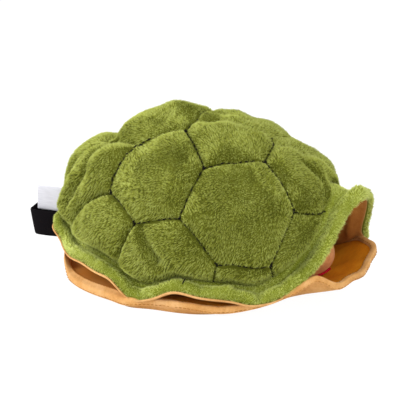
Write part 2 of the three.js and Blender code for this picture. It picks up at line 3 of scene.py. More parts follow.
import bpy
import numpy as np
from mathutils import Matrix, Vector


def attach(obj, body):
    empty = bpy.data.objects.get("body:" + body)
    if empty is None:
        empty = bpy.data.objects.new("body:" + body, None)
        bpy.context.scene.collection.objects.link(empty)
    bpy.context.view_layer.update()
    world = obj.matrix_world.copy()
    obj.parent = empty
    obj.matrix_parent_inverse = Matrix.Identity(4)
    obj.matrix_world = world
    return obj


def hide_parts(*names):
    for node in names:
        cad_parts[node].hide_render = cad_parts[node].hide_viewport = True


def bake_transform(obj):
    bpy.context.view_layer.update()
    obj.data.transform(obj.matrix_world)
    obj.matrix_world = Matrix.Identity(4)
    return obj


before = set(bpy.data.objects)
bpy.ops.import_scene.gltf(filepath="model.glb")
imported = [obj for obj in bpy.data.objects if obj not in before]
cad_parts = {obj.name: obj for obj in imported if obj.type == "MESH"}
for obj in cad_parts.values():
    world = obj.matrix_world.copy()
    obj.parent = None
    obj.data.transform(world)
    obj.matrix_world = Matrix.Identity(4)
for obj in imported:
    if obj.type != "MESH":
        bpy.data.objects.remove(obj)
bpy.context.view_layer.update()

# ---- Under shell ----
# The puppet lies on an oval pad of tan velour with a flat sole and a thin layer of wadding inside.
# Its edge curls up all round, and at the front it is drawn up into a lip below the head.
MM = 0.001
GAP = 0.3
# Plan ovals: reach to the front, reach to the rear, half width and squareness.
SOLE_OVAL, EDGE_OVAL = (70, 119.5, 85, 2.15), (123.8, 123, 88, 2.15)
EDGE_HEIGHTS = [
    (0, 23), (14, 27), (24, 31), (33, 30), (43, 23), (52, 17), (65, 10.5), (80, 9.5), (94, 8), (106, 5.5),
    (118, 5), (140, 5.5), (180, 7),
]
SOLE_CURL, UNDER_CURL = 1.05, 0.72
EDGE_WAVES = [
    (2, 9, 0.5), (-22, 8, -8.2), (-34, 5, 2.4), (-54, 8, -1.2), (42, 24, 5.0), (19, 8, 2.0), (-72, 9, -1.8),
]
LIP_CORNERS = [(20, 6, 4.8), (-52, 9, -1.6)]
SOLE_BUMPS = [(-104, 6, 4.5)]
REAR_CURL_FROM, REAR_CURL_TO, REAR_CURL = 141, 154, 9.5
PAD_THICKNESS, PAD_EDGE_THICKNESS, PAD_LINING = 8.5, 3.8, 1.4
PAD_EDGE_BULGE = 1.3
PAD_RIPPLE, PAD_RIPPLE_LENGTH, PAD_RIPPLE_HEIGHT = 0.007, 34, 6


def mix(a, b, share):
    """Straight mix of a and b: a at share 0, b at share 1."""
    return a + (b - a) * share


def unit(vectors):
    """Vectors scaled to length one, along the last axis."""
    return vectors / np.linalg.norm(vectors, axis=-1, keepdims=True)


def bell(offset, width):
    """Soft bump: 1 at no offset, falling off with the square of offset over width."""
    return np.exp(-((offset / width) ** 2))


def ease(share):
    """Share of 0 to 1 with a soft start and end: three times its square less twice its cube."""
    return share * share * (3 - 2 * share)


def signed(degrees):
    """Angle from the front, -180 to 180."""
    return (np.asarray(degrees, float) + 180) % 360 - 180
def heights(table, degrees):
    """Height round an edge: a smooth cubic through (degrees, height) knots, mirrored left to right."""
    knots = np.array(table, float)
    angle = np.concatenate([-knots[:0:-1, 0], knots[:, 0], 360 - knots[-2::-1, 0]])
    height = np.concatenate([knots[:0:-1, 1], knots[:, 1], knots[-2::-1, 1]])
    slope = np.gradient(height)
    slope[1:-1] = (height[2:] - height[:-2]) / (angle[2:] - angle[:-2])
    folded = np.abs(signed(degrees))
    i = np.clip(np.searchsorted(angle, folded, side="right") - 1, 1, len(angle) - 3)
    width = angle[i + 1] - angle[i]
    t = (folded - angle[i]) / width
    bend = (t**3 - 2 * t**2 + t) * slope[i] + (t**3 - t**2) * slope[i + 1]
    return mix(height[i], height[i + 1], ease(t)) + bend * width


def oval(degrees, front, rear, half_width, squareness):
    """Plan oval (front or rear times cos, half width times sin), pushed out to a superellipse."""
    c, s = np.cos(np.radians(degrees)), np.sin(np.radians(degrees))
    k = (np.abs(c) ** squareness + np.abs(s) ** squareness) ** (-1 / squareness)
    return np.stack([np.where(c > 0, front, rear) * c * k, half_width * s * k], -1)


def pad_point(degrees, share, lift, out=0.0, curl=SOLE_CURL):
    """Point of the pad: share -1 is the middle, 0 the edge of the flat sole, 1 the curled edge.

    Height is the edge's height times share to the power of the curl, plus lift; out pushes it sideways.
    The edge's height is a smooth table, plus soft waves as (angle, width, rise), plus a step up at the rear.
    """
    degrees, share = np.broadcast_arrays(np.asarray(degrees, float), np.asarray(share, float))
    sole, edge = oval(degrees, *SOLE_OVAL), oval(degrees, *EDGE_OVAL)
    ahead = oval(degrees + 0.5, *EDGE_OVAL) - edge
    outward = unit(np.stack([ahead[..., 1], -ahead[..., 0]], -1))
    curled, turn = np.clip(share, 0, 1), signed(degrees)
    plan = mix(sole * (1 + np.clip(share, -1, 0))[..., None], edge, curled[..., None])
    for bumps, weight in ((LIP_CORNERS, curled), (SOLE_BUMPS, np.clip(1 + share, 0, 1))):
        for middle, width, reach in bumps:
            out = out + reach * weight * bell(turn - middle, width)
    wave = REAR_CURL * ease(np.clip((np.abs(turn) - REAR_CURL_FROM) / (REAR_CURL_TO - REAR_CURL_FROM), 0, 1))
    for middle, width, reach in EDGE_WAVES:
        wave = wave + reach * bell(turn - middle, width)
    under = (heights(EDGE_HEIGHTS, degrees) + wave - PAD_EDGE_THICKNESS) * curled**curl
    return np.concatenate([plan + outward * out[..., None], (under + lift)[..., None]], -1)


def pad_thickness(share):
    """Thickness of the pad: even over the sole, thinner towards its edge."""
    return mix(PAD_THICKNESS, PAD_EDGE_THICKNESS, np.clip(share, 0, 1))


def ripple(points, wavelength, seed, waves=14, band=(0.7, 1.5)):
    """Soft uneven field about -1 to 1: a sum of sine waves in seeded directions, near one wavelength."""
    rng = np.random.default_rng(seed)
    heading = rng.normal(size=(3, waves))
    heading *= 2 * np.pi / (np.linalg.norm(heading, axis=0) * wavelength * rng.uniform(*band, waves))
    return np.sin(np.asarray(points) @ heading + rng.uniform(0, 2 * np.pi, waves)).sum(-1) / np.sqrt(waves)


def dye(code):
    """Linear colour of a written colour such as 7c9638."""
    value = np.array([int(code[i:i + 2], 16) for i in (0, 2, 4)]) / 255
    linear = np.where(value <= 0.04045, value / 12.92, ((value + 0.055) / 1.055) ** 2.4)
    return (*linear.tolist(), 1.0)


class Yarn:
    """One output of a material's nodes. Arithmetic on it adds Math nodes; node() adds any other node."""

    def __init__(self, tree, socket):
        self.tree = tree
        self.socket = socket

    def node(self, kind, settings, inputs, output=0):
        made = self.tree.nodes.new("ShaderNode" + kind)
        for key, value in settings.items():
            setattr(made, key, value)
        for key, value in inputs.items():
            if isinstance(value, Yarn):
                self.tree.links.new(value.socket, made.inputs[key])
            else:
                made.inputs[key].default_value = value
        return Yarn(self.tree, made.outputs[output])

    def maths(self, operation, first, second=0.0):
        return self.node("Math", {"operation": operation}, {0: first, 1: second})

    def __add__(self, other):
        return self.maths("ADD", self, other)

    def __sub__(self, other):
        return self.maths("SUBTRACT", self, other)

    def __mul__(self, other):
        return self.maths("MULTIPLY", self, other)

    def split(self):
        parts = self.node("SeparateXYZ", {}, {0: self})
        return [Yarn(self.tree, socket) for socket in parts.socket.node.outputs]

    def noise(self, scale, detail=3.0, stretch=(1, 1, 1)):
        placed = self.node("Mapping", {}, {"Vector": self, "Scale": stretch})
        return self.node("TexNoise", {}, {"Vector": placed, "Scale": scale, "Detail": detail, "Roughness": 0.6})

    def spread(self, low, high):
        return self.node("MapRange", {}, {"Value": self, "From Min": low, "From Max": high})

    def between(self, first, second):
        return self.node("Mix", {"data_type": "RGBA"}, {0: self, 6: first, 7: second}, 2)

    def ramp(self, first, *others):
        made = self.node("ValToRGB", {}, {0: self})
        stops = made.socket.node.color_ramp.elements
        stops.remove(stops[0])
        stops[0].position, stops[0].color = first[0], dye(first[1])
        for position, code in others:
            stops.new(position).color = dye(code)
        return made

    def bump(self, strength, distance):
        return self.node("Bump", {}, {"Height": self, "Strength": strength, "Distance": distance})

    def into(self, shader, name):
        self.tree.links.new(self.socket, shader.inputs[name])


def start_cloth(name, **constants):
    """New material: its shader with the given constants, and its Object and UV coordinates."""
    material = bpy.data.materials.new(name)
    material.use_nodes = True
    tree = material.node_tree
    shader = tree.nodes["Principled BSDF"]
    for key, value in constants.items():
        shader.inputs[key.replace("_", " ")].default_value = value
    place = tree.nodes.new("ShaderNodeTexCoord")
    return material, shader, Yarn(tree, place.outputs["Object"]), Yarn(tree, place.outputs["UV"])


def velour(name, dark, mid, light, sheen=0.35, rear=None, turned=None):
    """Short brushed velour: soft cloudy shade, fine grain in colour and in height.

    rear is its tone behind, by Object x; turned is a painted highlight along a turned edge, half way across its UV.
    """
    material, shader, place, own = start_cloth(
        name, Roughness=0.9, Sheen_Weight=sheen, Sheen_Roughness=0.45, Sheen_Tint=dye(light), Specular_IOR_Level=0.2)
    cloud = place.noise(38, 3).spread(0.3, 0.7)
    grain = place.noise(1500, 2)
    nap = place.noise(420, 2, (1, 0.35, 0.5))
    tone = cloud * 0.55 + grain.spread(0.3, 0.7) * 0.25 + nap.spread(0.3, 0.7) * 0.2
    colour = tone.ramp((0.1, dark), (0.5, mid), (0.95, light))
    if rear:
        ahead = place.split()[0].spread(-0.02, 0.05)
        colour = ahead.between(tone.between(dye(dark), dye(rear)), colour)
    # Painted highlight: a paler band along the fold of a turned edge.
    if turned:
        across = own.split()[1]
        fold = across.maths("ABSOLUTE", across - 0.5).spread(0.1, 0.06)
        colour = fold.between(colour, tone.between(dye(mid), dye(turned)))
    colour.into(shader, "Base Color")
    (grain * 0.6 + nap * 0.4).bump(0.35, 0.0006).into(shader, "Normal")
    return material


def lay(name, vertices, faces, uvs=None):
    """New object with a smooth mesh over points in mm, with its own UV where given."""
    mesh = bpy.data.meshes.new(name)
    mesh.from_pydata((vertices * MM).tolist(), [], faces)
    if uvs is not None:
        mesh.uv_layers.new(name="OFBake").data.foreach_set("uv", uvs.ravel())
    mesh.shade_smooth()
    piece = bpy.data.objects.new(name, mesh)
    bpy.context.collection.objects.link(piece)
    return piece


def cloth_piece(name, points, nose=None, tail=None, ring=False):
    """Mesh over rows of points in mm, each row closed on itself.

    nose and tail are points that close the first and last row in a fan; ring joins the last row to the first;
    otherwise flat caps close the ends. Faces are turned outwards by the sign of the enclosed volume.
    """
    rows, columns = points.shape[:2]
    r, c = np.meshgrid(np.arange(rows if ring else rows - 1), np.arange(columns), indexing="ij")
    steps = ((0, 0), (0, 1), (1, 1), (1, 0))
    quads = np.stack([((r + dr) % rows) * columns + (c + dc) % columns for dr, dc in steps], -1).reshape(-1, 4)
    spots = np.stack([np.stack([(c + dc) / columns, (r + dr + 1) / (rows + 1)], -1) for dr, dc in steps], -2)
    vertices, faces, uvs = points.reshape(-1, 3), quads.tolist(), spots.reshape(-1, 2)
    a, b, d, e = vertices[quads.T]
    volume = (a * (np.cross(b, d) + np.cross(d, e))).sum()
    k = np.arange(columns)
    for pole, row, level, order in ((nose, 0, 0, [0, 2, 1]), (tail, rows - 1, 1, [0, 1, 2])):
        if pole is None:
            continue
        edge = (row + 1) / (rows + 1)
        fan = np.stack([k * 0 + len(vertices), row * columns + k, row * columns + (k + 1) % columns], -1)
        spots = np.stack([np.stack([(k + step) / columns, k * 0 + height], -1)
                          for step, height in ((0.5, level), (0, edge), (1, edge))], 1)
        vertices = np.vstack([vertices, pole])
        faces += fan[:, order].tolist()
        uvs = np.vstack([uvs, spots[:, order].reshape(-1, 2)])
    if nose is None and tail is None and not ring:
        faces += [k[::-1].tolist(), ((rows - 1) * columns + k).tolist()]
        uvs = np.vstack([uvs, np.stack([k[::-1] / columns, k * 0.0], -1), np.stack([k / columns, k * 0 + 1.0], -1)])
    piece = lay(name, vertices, faces, uvs)
    if volume < 0:
        piece.data.flip_normals()
    return piece


def sew(piece, body, slot, material, *nodes):
    """Gives a piece its material, fixes it to a body and lets it stand for the named nodes; slot is not used."""
    piece.data.materials.append(material)
    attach(piece, body)
    if nodes:
        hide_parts(*nodes)


tan_velour = velour("tan_velour", "b47a3c", "d29c5c", "e8ba82")
ROUND = np.arange(0, 360, 1.0)[None, :]
bottom = np.linspace(-0.92, 1, 44)[:, None]
wall = np.linspace(0.1, 1, 9)[:, None]
top = np.linspace(0.96, -0.92, 24)[:, None]
under_skin = pad_point(ROUND, bottom, 0.0, curl=UNDER_CURL)
thin_skin = pad_point(ROUND, bottom, pad_thickness(bottom) - PAD_EDGE_THICKNESS)
under_skin[..., 2] = np.minimum(under_skin[..., 2], thin_skin[..., 2])
edge_wall = pad_point(ROUND, 1, wall * (PAD_EDGE_THICKNESS - PAD_LINING - GAP), PAD_EDGE_BULGE * np.sin(np.pi * wall))
inside = pad_point(ROUND, top, pad_thickness(top) - PAD_LINING - GAP)
pad = np.concatenate([under_skin, edge_wall, inside])
raised = np.clip(pad[..., 2:] / PAD_RIPPLE_HEIGHT, 0, 1)
pad[..., :2] *= 1 + PAD_RIPPLE * raised * ripple(pad, PAD_RIPPLE_LENGTH, 3)[..., None]
plastron_cover = cloth_piece("plastron_cover_pad", pad, nose=(0, 0, 0), tail=(0, 0, PAD_THICKNESS - PAD_LINING - GAP))
sew(plastron_cover, "shell", "velour_tan", tan_velour, "plastron_cover", "plastron_wadding")

# ---- Lining of the under shell ----
# A smooth orange-brown lining lies on the pad and shows in the lip at the front and behind the rear edge.
# It is one skin, caught under the hem all round, and it dimples a little over the wadding.
LINING_DIMPLE, LINING_DIMPLE_LENGTH = 0.5, 26
orange_lining = velour("orange_lining", "cc7409", "e68e12", "f4aa2a", 0.1, "c08a4c")
top = np.linspace(-0.95, 1, 60)[:, None]
lining_top = pad_point(ROUND, top, pad_thickness(top))
lining_top[..., 2] += np.clip(ripple(lining_top, LINING_DIMPLE_LENGTH, 5), -1, 0) * LINING_DIMPLE
lining_low = pad_point(ROUND, top[::-1], pad_thickness(top[::-1]) - PAD_LINING)
plastron_lining = cloth_piece("plastron_lining_skin", np.concatenate([lining_top, lining_low]),
                              nose=(0, 0, PAD_THICKNESS), tail=(0, 0, PAD_THICKNESS - PAD_LINING))
sew(plastron_lining, "shell", "lining_orange", orange_lining, "plastron_lining")


def cut_area(grid):
    """Area in square metres of rows of points in mm that close on themselves, from each cell's diagonals."""
    beside = np.roll(grid, -1, 1)
    cells = np.cross(beside[1:] - grid[:-1], grid[1:] - beside[:-1])
    return float(np.linalg.norm(cells, axis=-1).sum()) / 2 * MM**2


def girth(row):
    """Length in metres round a row of points in mm that closes on itself."""
    return float(np.linalg.norm(np.roll(row, -1, 0) - row, axis=-1).sum()) * MM


# ---- Hem of the under shell ----
# A turned binding of the same tan velour wraps the pad's edge, puffed between its two rows of stitches.
# The rows run round the outside and the inside of the edge, a few millimetres from the fold.
HEM_CLEARANCE, HEM_THICKNESS, HEM_EDGE_THICKNESS = 0.5, 1.3, 0.15
HEM_LAP, HEM_DROP, HEM_FOLD, HEM_TAPER, ROLL_ROUNDNESS = 3.6, 3.8, 2.5, 1.2, 0.6
HEM_PUFF, HEM_PUFF_REACH, HEM_UNEVENNESS, HEM_UNEVEN_LENGTH = 0.35, 3.0, 0.25, 9
EDGE_MM_PER_DEGREE = 1.6
HEM_STITCH, HEM_STITCH_HALF_LENGTH, HEM_THREAD_RADIUS = 3.3, 1.25, 0.33
HEM_STITCH_ROWS, HEM_STITCH_LIFT = (-2.7, 2.4), 1.45


def hem_point(degrees, along, lift):
    """Point on the hem: along is the distance in mm from the fold, negative inwards and positive down outside.

    Inwards it follows the pad's top; outside it drops straight; lift stands off from the pad.
    """
    degrees, along = np.broadcast_arrays(np.asarray(degrees, float), np.asarray(along, float))
    sole, edge = oval(degrees, *SOLE_OVAL), oval(degrees, *EDGE_OVAL)
    width = np.linalg.norm(edge - sole, axis=-1)
    inward = np.clip(-along, 0, None)
    share = np.where(inward < width, 1 - inward / width, -(inward - width) / np.linalg.norm(sole, axis=-1))
    turn = np.pi / 2 * np.clip(along / HEM_FOLD + 0.5, 0, 1)
    out = (lift + GAP) * np.sin(turn)
    stand = (lift + HEM_CLEARANCE) * np.cos(turn) ** ROLL_ROUNDNESS
    return pad_point(degrees, share, pad_thickness(share) + stand - np.clip(along, 0, None), out)


HEM_ROUND = np.arange(0, 360, 0.6)[None, :]
along = np.linspace(-HEM_LAP, HEM_DROP, 22)[:, None]
hem_run = np.stack([HEM_ROUND * EDGE_MM_PER_DEGREE, 0 * HEM_ROUND, 0 * HEM_ROUND], -1)
puff = HEM_PUFF * np.cos(np.pi / 2 * np.clip(along / HEM_PUFF_REACH, -1, 1))
puff = puff + HEM_UNEVENNESS * ripple(hem_run, HEM_UNEVEN_LENGTH, 8)
taper = np.clip((HEM_LAP + along) / HEM_TAPER, 0, 1) * np.clip((HEM_DROP - along) / HEM_TAPER, 0, 1)
hem_outside = hem_point(HEM_ROUND, along, mix(HEM_EDGE_THICKNESS, HEM_THICKNESS + puff, np.sqrt(taper)))
hem_inside = hem_point(HEM_ROUND, along[::-1], 0.0)
plastron_hem = cloth_piece("plastron_hem_binding", np.concatenate([hem_outside, hem_inside]), ring=True)
sew(plastron_hem, "shell", "velour_tan", tan_velour, "plastron_hem")


def circle(turn, side, lift):
    """Unit circles in the plane of two directions: cos turn of the first plus sin turn of the second."""
    return np.cos(turn)[:, None] * side[..., None, :] + np.sin(turn)[:, None] * lift[..., None, :]


def stitches(name, centres, along, upward, half_lengths, radius, slot, thread):
    """Short thread stitches: spindles along a direction, with radius times the root of 1 - t squared."""
    t = np.array([-1, -0.82, -0.4, 0.4, 0.82, 1])
    swell = radius * np.sqrt(np.clip(1 - t**2, 0.06, 1))
    sides = 6
    turn = np.linspace(0, 2 * np.pi, sides, endpoint=False)
    side = unit(np.cross(along, upward))
    spine = centres[:, None] + (half_lengths[:, None] * t)[..., None] * along[:, None]
    rings = spine[:, :, None] + swell[:, None, None] * circle(turn, side, np.cross(side, along))[:, None]
    r, c = np.meshgrid(np.arange(len(t) - 1) * sides, np.arange(sides), indexing="ij")
    beside = (c + 1) % sides
    one = np.stack([r + sides + c, r + sides + beside, r + beside, r + c], -1).reshape(-1, 4)
    starts = np.arange(len(centres))[:, None] * len(t) * sides
    quads = (starts[..., None] + one).reshape(-1, 4)
    caps = np.concatenate([starts + np.arange(sides), starts + len(t) * sides - 1 - np.arange(sides)])
    piece = lay(name, rings.reshape(-1, 3), quads.tolist() + caps.tolist())
    sew(piece, "shell", slot, thread)
    return piece


def spaced(trail, marks, spacing, first=0.0):
    """Marks at an even spacing in mm along a trail of points, from the marks of its points."""
    arc = np.concatenate([[0], np.cumsum(np.linalg.norm(np.diff(trail, axis=0), axis=1))])
    return np.interp(np.arange(first, arc[-1], spacing), arc, marks)
def thread_material(name, dark, light):
    """Twisted sewing thread: fine slanted light and dark plies."""
    material, shader, place, _ = start_cloth(name, Roughness=0.8, Specular_IOR_Level=0.15)
    ply = place.noise(2200, 1, (1, 1, 0.4)).spread(0.35, 0.65)
    ply.between(dye(dark), dye(light)).into(shader, "Base Color")
    ply.bump(0.4, 0.0002).into(shader, "Normal")
    return material


tan_thread = thread_material("tan_thread", "8f5c22", "c4873f")
angles = np.arange(0, 360, 0.05)
stitch_degrees = spaced(hem_point(angles, 0, 1.0), angles, HEM_STITCH)
hem_rows = []
for row_along in HEM_STITCH_ROWS:
    here = hem_point(stitch_degrees, row_along, HEM_STITCH_LIFT)
    ahead = hem_point(stitch_degrees + 0.3, row_along, HEM_STITCH_LIFT)
    above = hem_point(stitch_degrees, row_along, HEM_STITCH_LIFT + 1)
    hem_rows.append((here, unit(ahead - here), above - here))
hem_centres, hem_heading, hem_up = map(np.concatenate, zip(*hem_rows))
hem_lengths = np.full(len(hem_centres), HEM_STITCH_HALF_LENGTH)
hem_stitching = stitches("plastron_hem_stitching", hem_centres, hem_heading, hem_up, hem_lengths, HEM_THREAD_RADIUS,
                         "velour_tan", tan_thread)
cut_area(lining_top)

# ---- Upper shell: the shape of the dome and its edge ----
# The dome is cut as one round pattern, drawn to shape over the hand; its seam stands inside a free edge
# that rises to an arch over the head, dips to the under shell at the sides and rises again at the rear.
RIM_FRONT, RIM_REAR, RIM_HALF_WIDTH = 128, 131, 95
RIM_HEIGHTS = [
    (0, 86), (8, 82.2), (17, 71.2), (25, 56), (33, 41.5), (40, 32), (48, 23.5), (58, 16), (66, 17.5),
    (76, 18), (86, 18.5), (95, 11.5), (103, 8.5), (113, 19), (124, 24.5), (142, 27), (163, 39.5), (180, 43.5),
]
RIM_BUMPS = [
    (41, 8, (7.5, 7, 0)), (-12, 12, (-4, 0, 0)), (-162, 7, (-5.7, -1.9, 0)), (-53, 9, (1.4, -2.4, 0)),
    (-110.5, 6.5, (0, 0, 4.6)), (-128, 7, (0, 0, 1.6)), (-47, 8, (0, 0, -3.2)), (-30, 22, (0, 0, -3.5)),
    (-85, 7, (0, 0, 2.5)),
]
RIM_LIFT, ELLIPSE = 0.6, 2.0
BAND_REACH_FRONT, BAND_REACH_REAR, BAND_REACH_SIDE, BAND_NARROWING = 15, 12, 7, 3
COLLAR_SETBACK, COLLAR_RIGHT, COLLAR_LEFT = 11, 9, 26
SEAM_RISE, SEAM_FLATTENING = 10, 0.94
CROWN_X, CROWN_Z = -8, 129
DOME_FULLNESS, REAR_FULLNESS = 2.55, 0.35
PATTERN_RADIUS = 150


def rim_point(degrees):
    """Free edge: the plan ellipse at the height of the edge, pushed by soft bumps as (angle, width, shift)."""
    plan = oval(degrees, RIM_FRONT, RIM_REAR, RIM_HALF_WIDTH, ELLIPSE)
    edge = np.concatenate([plan, (heights(RIM_HEIGHTS, degrees) + RIM_LIFT)[..., None]], -1)
    for middle, width, shift in RIM_BUMPS:
        edge = edge + bell(signed(degrees) - middle, width)[..., None] * np.array(shift)
    return edge


def dome_point(forward, sideways):
    """Dome over the flat pattern: along each ray from the crown to the seam it is a superellipse quarter."""
    share, ray = np.hypot(forward, sideways) / PATTERN_RADIUS, np.arctan2(sideways, forward)
    degrees = np.degrees(ray)
    plan = oval(degrees, RIM_FRONT, RIM_REAR - BAND_REACH_REAR, RIM_HALF_WIDTH - BAND_REACH_SIDE, ELLIPSE)
    reach = BAND_REACH_FRONT * np.clip(np.cos(ray), 0, None) ** BAND_NARROWING
    reach = reach + COLLAR_SETBACK * bell(degrees, np.where(degrees < 0, COLLAR_RIGHT, COLLAR_LEFT))
    seam_x, seam_y = plan[..., 0] - reach, plan[..., 1]
    seam_z = heights(RIM_HEIGHTS, degrees) * SEAM_FLATTENING + SEAM_RISE
    full = DOME_FULLNESS - REAR_FULLNESS * np.cos(ray)
    s, c = np.sin(share * np.pi / 2), np.cos(share * np.pi / 2)
    k = (np.abs(s) ** full + np.abs(c) ** full) ** (-1 / full)
    return np.stack([mix(CROWN_X, seam_x, k * s), seam_y * k * s, mix(seam_z, CROWN_Z, k * c)], -1)


def dome_normal(forward, sideways):
    """Outward direction of the dome, from small steps along the pattern."""
    step = 0.1
    ahead = dome_point(forward + step, sideways) - dome_point(forward - step, sideways)
    beside = dome_point(forward, sideways + step) - dome_point(forward, sideways - step)
    return unit(np.cross(ahead, beside))


def on_dome(forward, sideways, depth):
    """Point at a distance outside the dome, along its outward direction."""
    return dome_point(forward, sideways) + dome_normal(forward, sideways) * np.asarray(depth)[..., None]


def pattern(degrees, radius):
    """Place on the flat pattern by angle and distance from its middle."""
    return radius * np.cos(np.radians(degrees)), radius * np.sin(np.radians(degrees))


# ---- Lining of the upper shell ----
# A brown lining hangs inside the dome, sewn in at the rim, with a few soft slack folds.
LINING_OUTER, LINING_INNER = -14.1, -15.6
LINING_SLACK, LINING_SLACK_LENGTH = 1.4, 30
brown_lining = velour("brown_lining", "6b3a14", "8a5224", "a86a35", 0.2)
LINING_ROUND = np.arange(0, 360, 1.5)[None, :]
radii = np.linspace(4, PATTERN_RADIUS, 64)[:, None]
forward, sideways = pattern(LINING_ROUND, radii)
slack = np.clip(ripple(dome_point(forward, sideways), LINING_SLACK_LENGTH, 11), 0, LINING_SLACK)
lining_inner = on_dome(forward, sideways, LINING_INNER - slack * (1 - (radii / PATTERN_RADIUS) ** 6))
lining_outer = on_dome(*pattern(LINING_ROUND, radii[::-1]), LINING_OUTER)
crown = np.array([CROWN_X, 0, CROWN_Z])
carapace_lining = cloth_piece("carapace_lining_skin", np.concatenate([lining_inner, lining_outer]),
                              nose=crown + (0, 0, LINING_INNER), tail=crown + (0, 0, LINING_OUTER))
sew(carapace_lining, "shell", "lining_brown", brown_lining, "carapace_lining")
cut_area(lining_outer)

# ---- Facing of the edge ----
# A strip of brown-tan velour faces the inside of the plush edge and joins it to the lining.
# It is turned at the free edge, so a thin tan line shows below the plush, painted paler along the fold as a painted
# highlight.
SEAM_DEPTH = -5.0
BAND_THICKNESS, BAND_FRONT_DIP, BAND_DIP_END = 4.0, 4.5, 0.62
FRONT_EDGE_TO, FRONT_EDGE_FADE, ARCH_TO = 48, 14, 22
FACING_THICKNESS, HOOK_SIDE, HOOK_FRONT = 1.2, 6.5, 12.5
HOOK_FACE_ROWS, HOOK_FOLD_ROW = 8, 6
FACING_HOOK = [
    (-6, 4.3), (-3, 4.3), (-1.6, 4.0), (-1.2, 3.4), (-1.0, 2.8), (-0.6, 2.3), (-0.1, 2.3), (0.3, 2.9), (0.3, 3.8),
    (-0.5, 5.0), (-3, 5.5), (-6, 5.5),
]
FACING_FRONT = [
    (-12, 4.3), (-9, 4.3), (-6.4, 4.3), (-5.9, 4.35), (-5.6, 4.4), (-5.3, 4.5), (-5.1, 4.7), (-5.0, 4.9),
    (-5.1, 5.1), (-5.6, 5.3), (-9, 5.5), (-12, 5.5),
]
EDGE_ROUND = np.arange(0, 360, 0.6)
forward, sideways = pattern(EDGE_ROUND, PATTERN_RADIUS)
band_start = on_dome(forward, sideways, SEAM_DEPTH) - (0, 0, GAP)
rim = rim_point(EDGE_ROUND)
band_length = np.linalg.norm(rim - band_start, axis=-1, keepdims=True)
band_out = unit(rim - band_start)
band_in = unit(np.cross(band_out, np.cross((0, 0, 1), dome_normal(forward, sideways))))
band_in = np.where(band_in[..., 2:] > 0, -band_in, band_in)
edge_turn = signed(EDGE_ROUND)[:, None]
front_edge = np.clip((FRONT_EDGE_TO - np.abs(edge_turn)) / FRONT_EDGE_FADE, 0, 1)


def band_place(share, depth):
    """Point of the band: share of its length from seam to free edge, and depth inwards in mm.

    At the front the band dips between the seam and its roll, least at the top of the arch.
    """
    dip = BAND_FRONT_DIP * front_edge * np.clip(np.abs(edge_turn) / ARCH_TO, 0.3, 1)
    dip = dip * np.sin(np.pi * np.clip(share / BAND_DIP_END, 0, 1)) ** 2
    return band_start + band_out * band_length * share + band_in * (depth + dip)


facing_root = on_dome(forward, sideways, LINING_INNER) - (0, 0, GAP)
facing_share, join_share = np.linspace(0, 1, 9), np.linspace(0, 1, 6)
face_depth = BAND_THICKNESS + GAP
back_depth = face_depth + FACING_THICKNESS
hook_start = 1 - mix(HOOK_SIDE, HOOK_FRONT, front_edge) / band_length
facing_top = [mix(facing_root, band_place(0, face_depth), s) for s in join_share[:-1]]
facing_top += [band_place(s * hook_start, face_depth) for s in facing_share[:-1]]
facing_hook = [band_place(1 + mix(side[0], front[0], front_edge) / band_length, mix(side[1], front[1], front_edge))
               for side, front in zip(FACING_HOOK, FACING_FRONT)]
facing_low = [band_place(s * hook_start, back_depth) for s in facing_share[-2::-1]]
facing_low += [mix(band_place(0, back_depth), facing_root - (0, 0, FACING_THICKNESS), s) for s in join_share[1:]]
# Painted highlight: the turned edge of the facing is painted paler, ecbe80.
facing_velour = velour("facing_velour", "884f16", "a4682b", "c08843", turned="ecbe80")
rim_facing = cloth_piece("rim_facing_strip", np.array(facing_top + facing_hook + facing_low), ring=True)
sew(rim_facing, "shell", "velour_tan", facing_velour, "rim_facing")
facing_face = np.array(facing_top + facing_hook[:HOOK_FACE_ROWS])
facing_length = girth(facing_hook[HOOK_FOLD_ROW])
cut_area(facing_face) / facing_length

# ---- Quilted cover of the upper shell ----
# Green plush is quilted over wadding in cells like a turtle's scutes: each cell swells between sewn lines.
# The corners of the sewn lines are laid out on the flat pattern; the left half mirrors the right.
QUILT_CORNERS = {
    "spine_front": (50.7, -41.3), "spine_mid": (-3.6, -32.5), "spine_rear": (-66, -30), "shoulder": (17.4, -68.3),
    "flank": (-30.8, -49.6), "breast": (87.5, -65.9), "rib_front": (88.2, -107.7), "rib_mid": (43.5, -129),
    "side": (9.7, -107.7), "haunch": (-27.9, -107.4), "hip": (-50, -88),
}
RIM_CORNERS = {"collar": 18, "front": 49, "mid": 73, "rear": 112.5, "hind": 150, "tail": 165}
QUILT_LINES = [
    ("spine_front", "shoulder", 0.42), ("shoulder", "spine_mid", 0.34), ("spine_mid", "flank", 0.38),
    ("flank", "hip", 0.45), ("hip", "haunch", 0.2), ("haunch", "side", 0.36), ("side", "shoulder", 0.46),
    ("spine_front", "breast", 0.36), ("breast", "rib_front", 0.4), ("rib_front", "rib_mid", 0.42),
    ("rib_mid", "side", 0.4), ("spine_rear", "flank", 0.0), ("hip", "hind", 0.05), ("haunch", "rear", 0.1),
    ("rib_mid", "mid", 0.2), ("rib_front", "front", 0.2), ("breast", "collar", 0.15), ("spine_rear", "tail", 0.0),
]
CROSS_LINES = [("spine_front", 0.1), ("spine_mid", 0.35), ("spine_rear", 0.0)]
PILE_DEPTH = 1.3
CELL_SWELL, STEP_SHARE, STEP_LENGTH, SWELL_LENGTH = 13.0, 0.3, 1.8, 10.5
FRONT_SLACK, FRONT_FROM, FRONT_FADE, FRONT_RAY, FRONT_RAY_FADE = 0.5, 62, 20, 32, 12
SEAM_GROOVE, SEAM_INSET, SEAM_WIDTH = 2.4, 3, 3.5
FLANK_GROOVE, FLANK_RAY, FLANK_WIDTH = 2.6, 116, 20
COVER_RIPPLES = [(38, 21, 1.0), (16, 22, 0.5)]
GATHER, GATHER_LENGTH, GATHER_REACH = 0.5, 8, 5
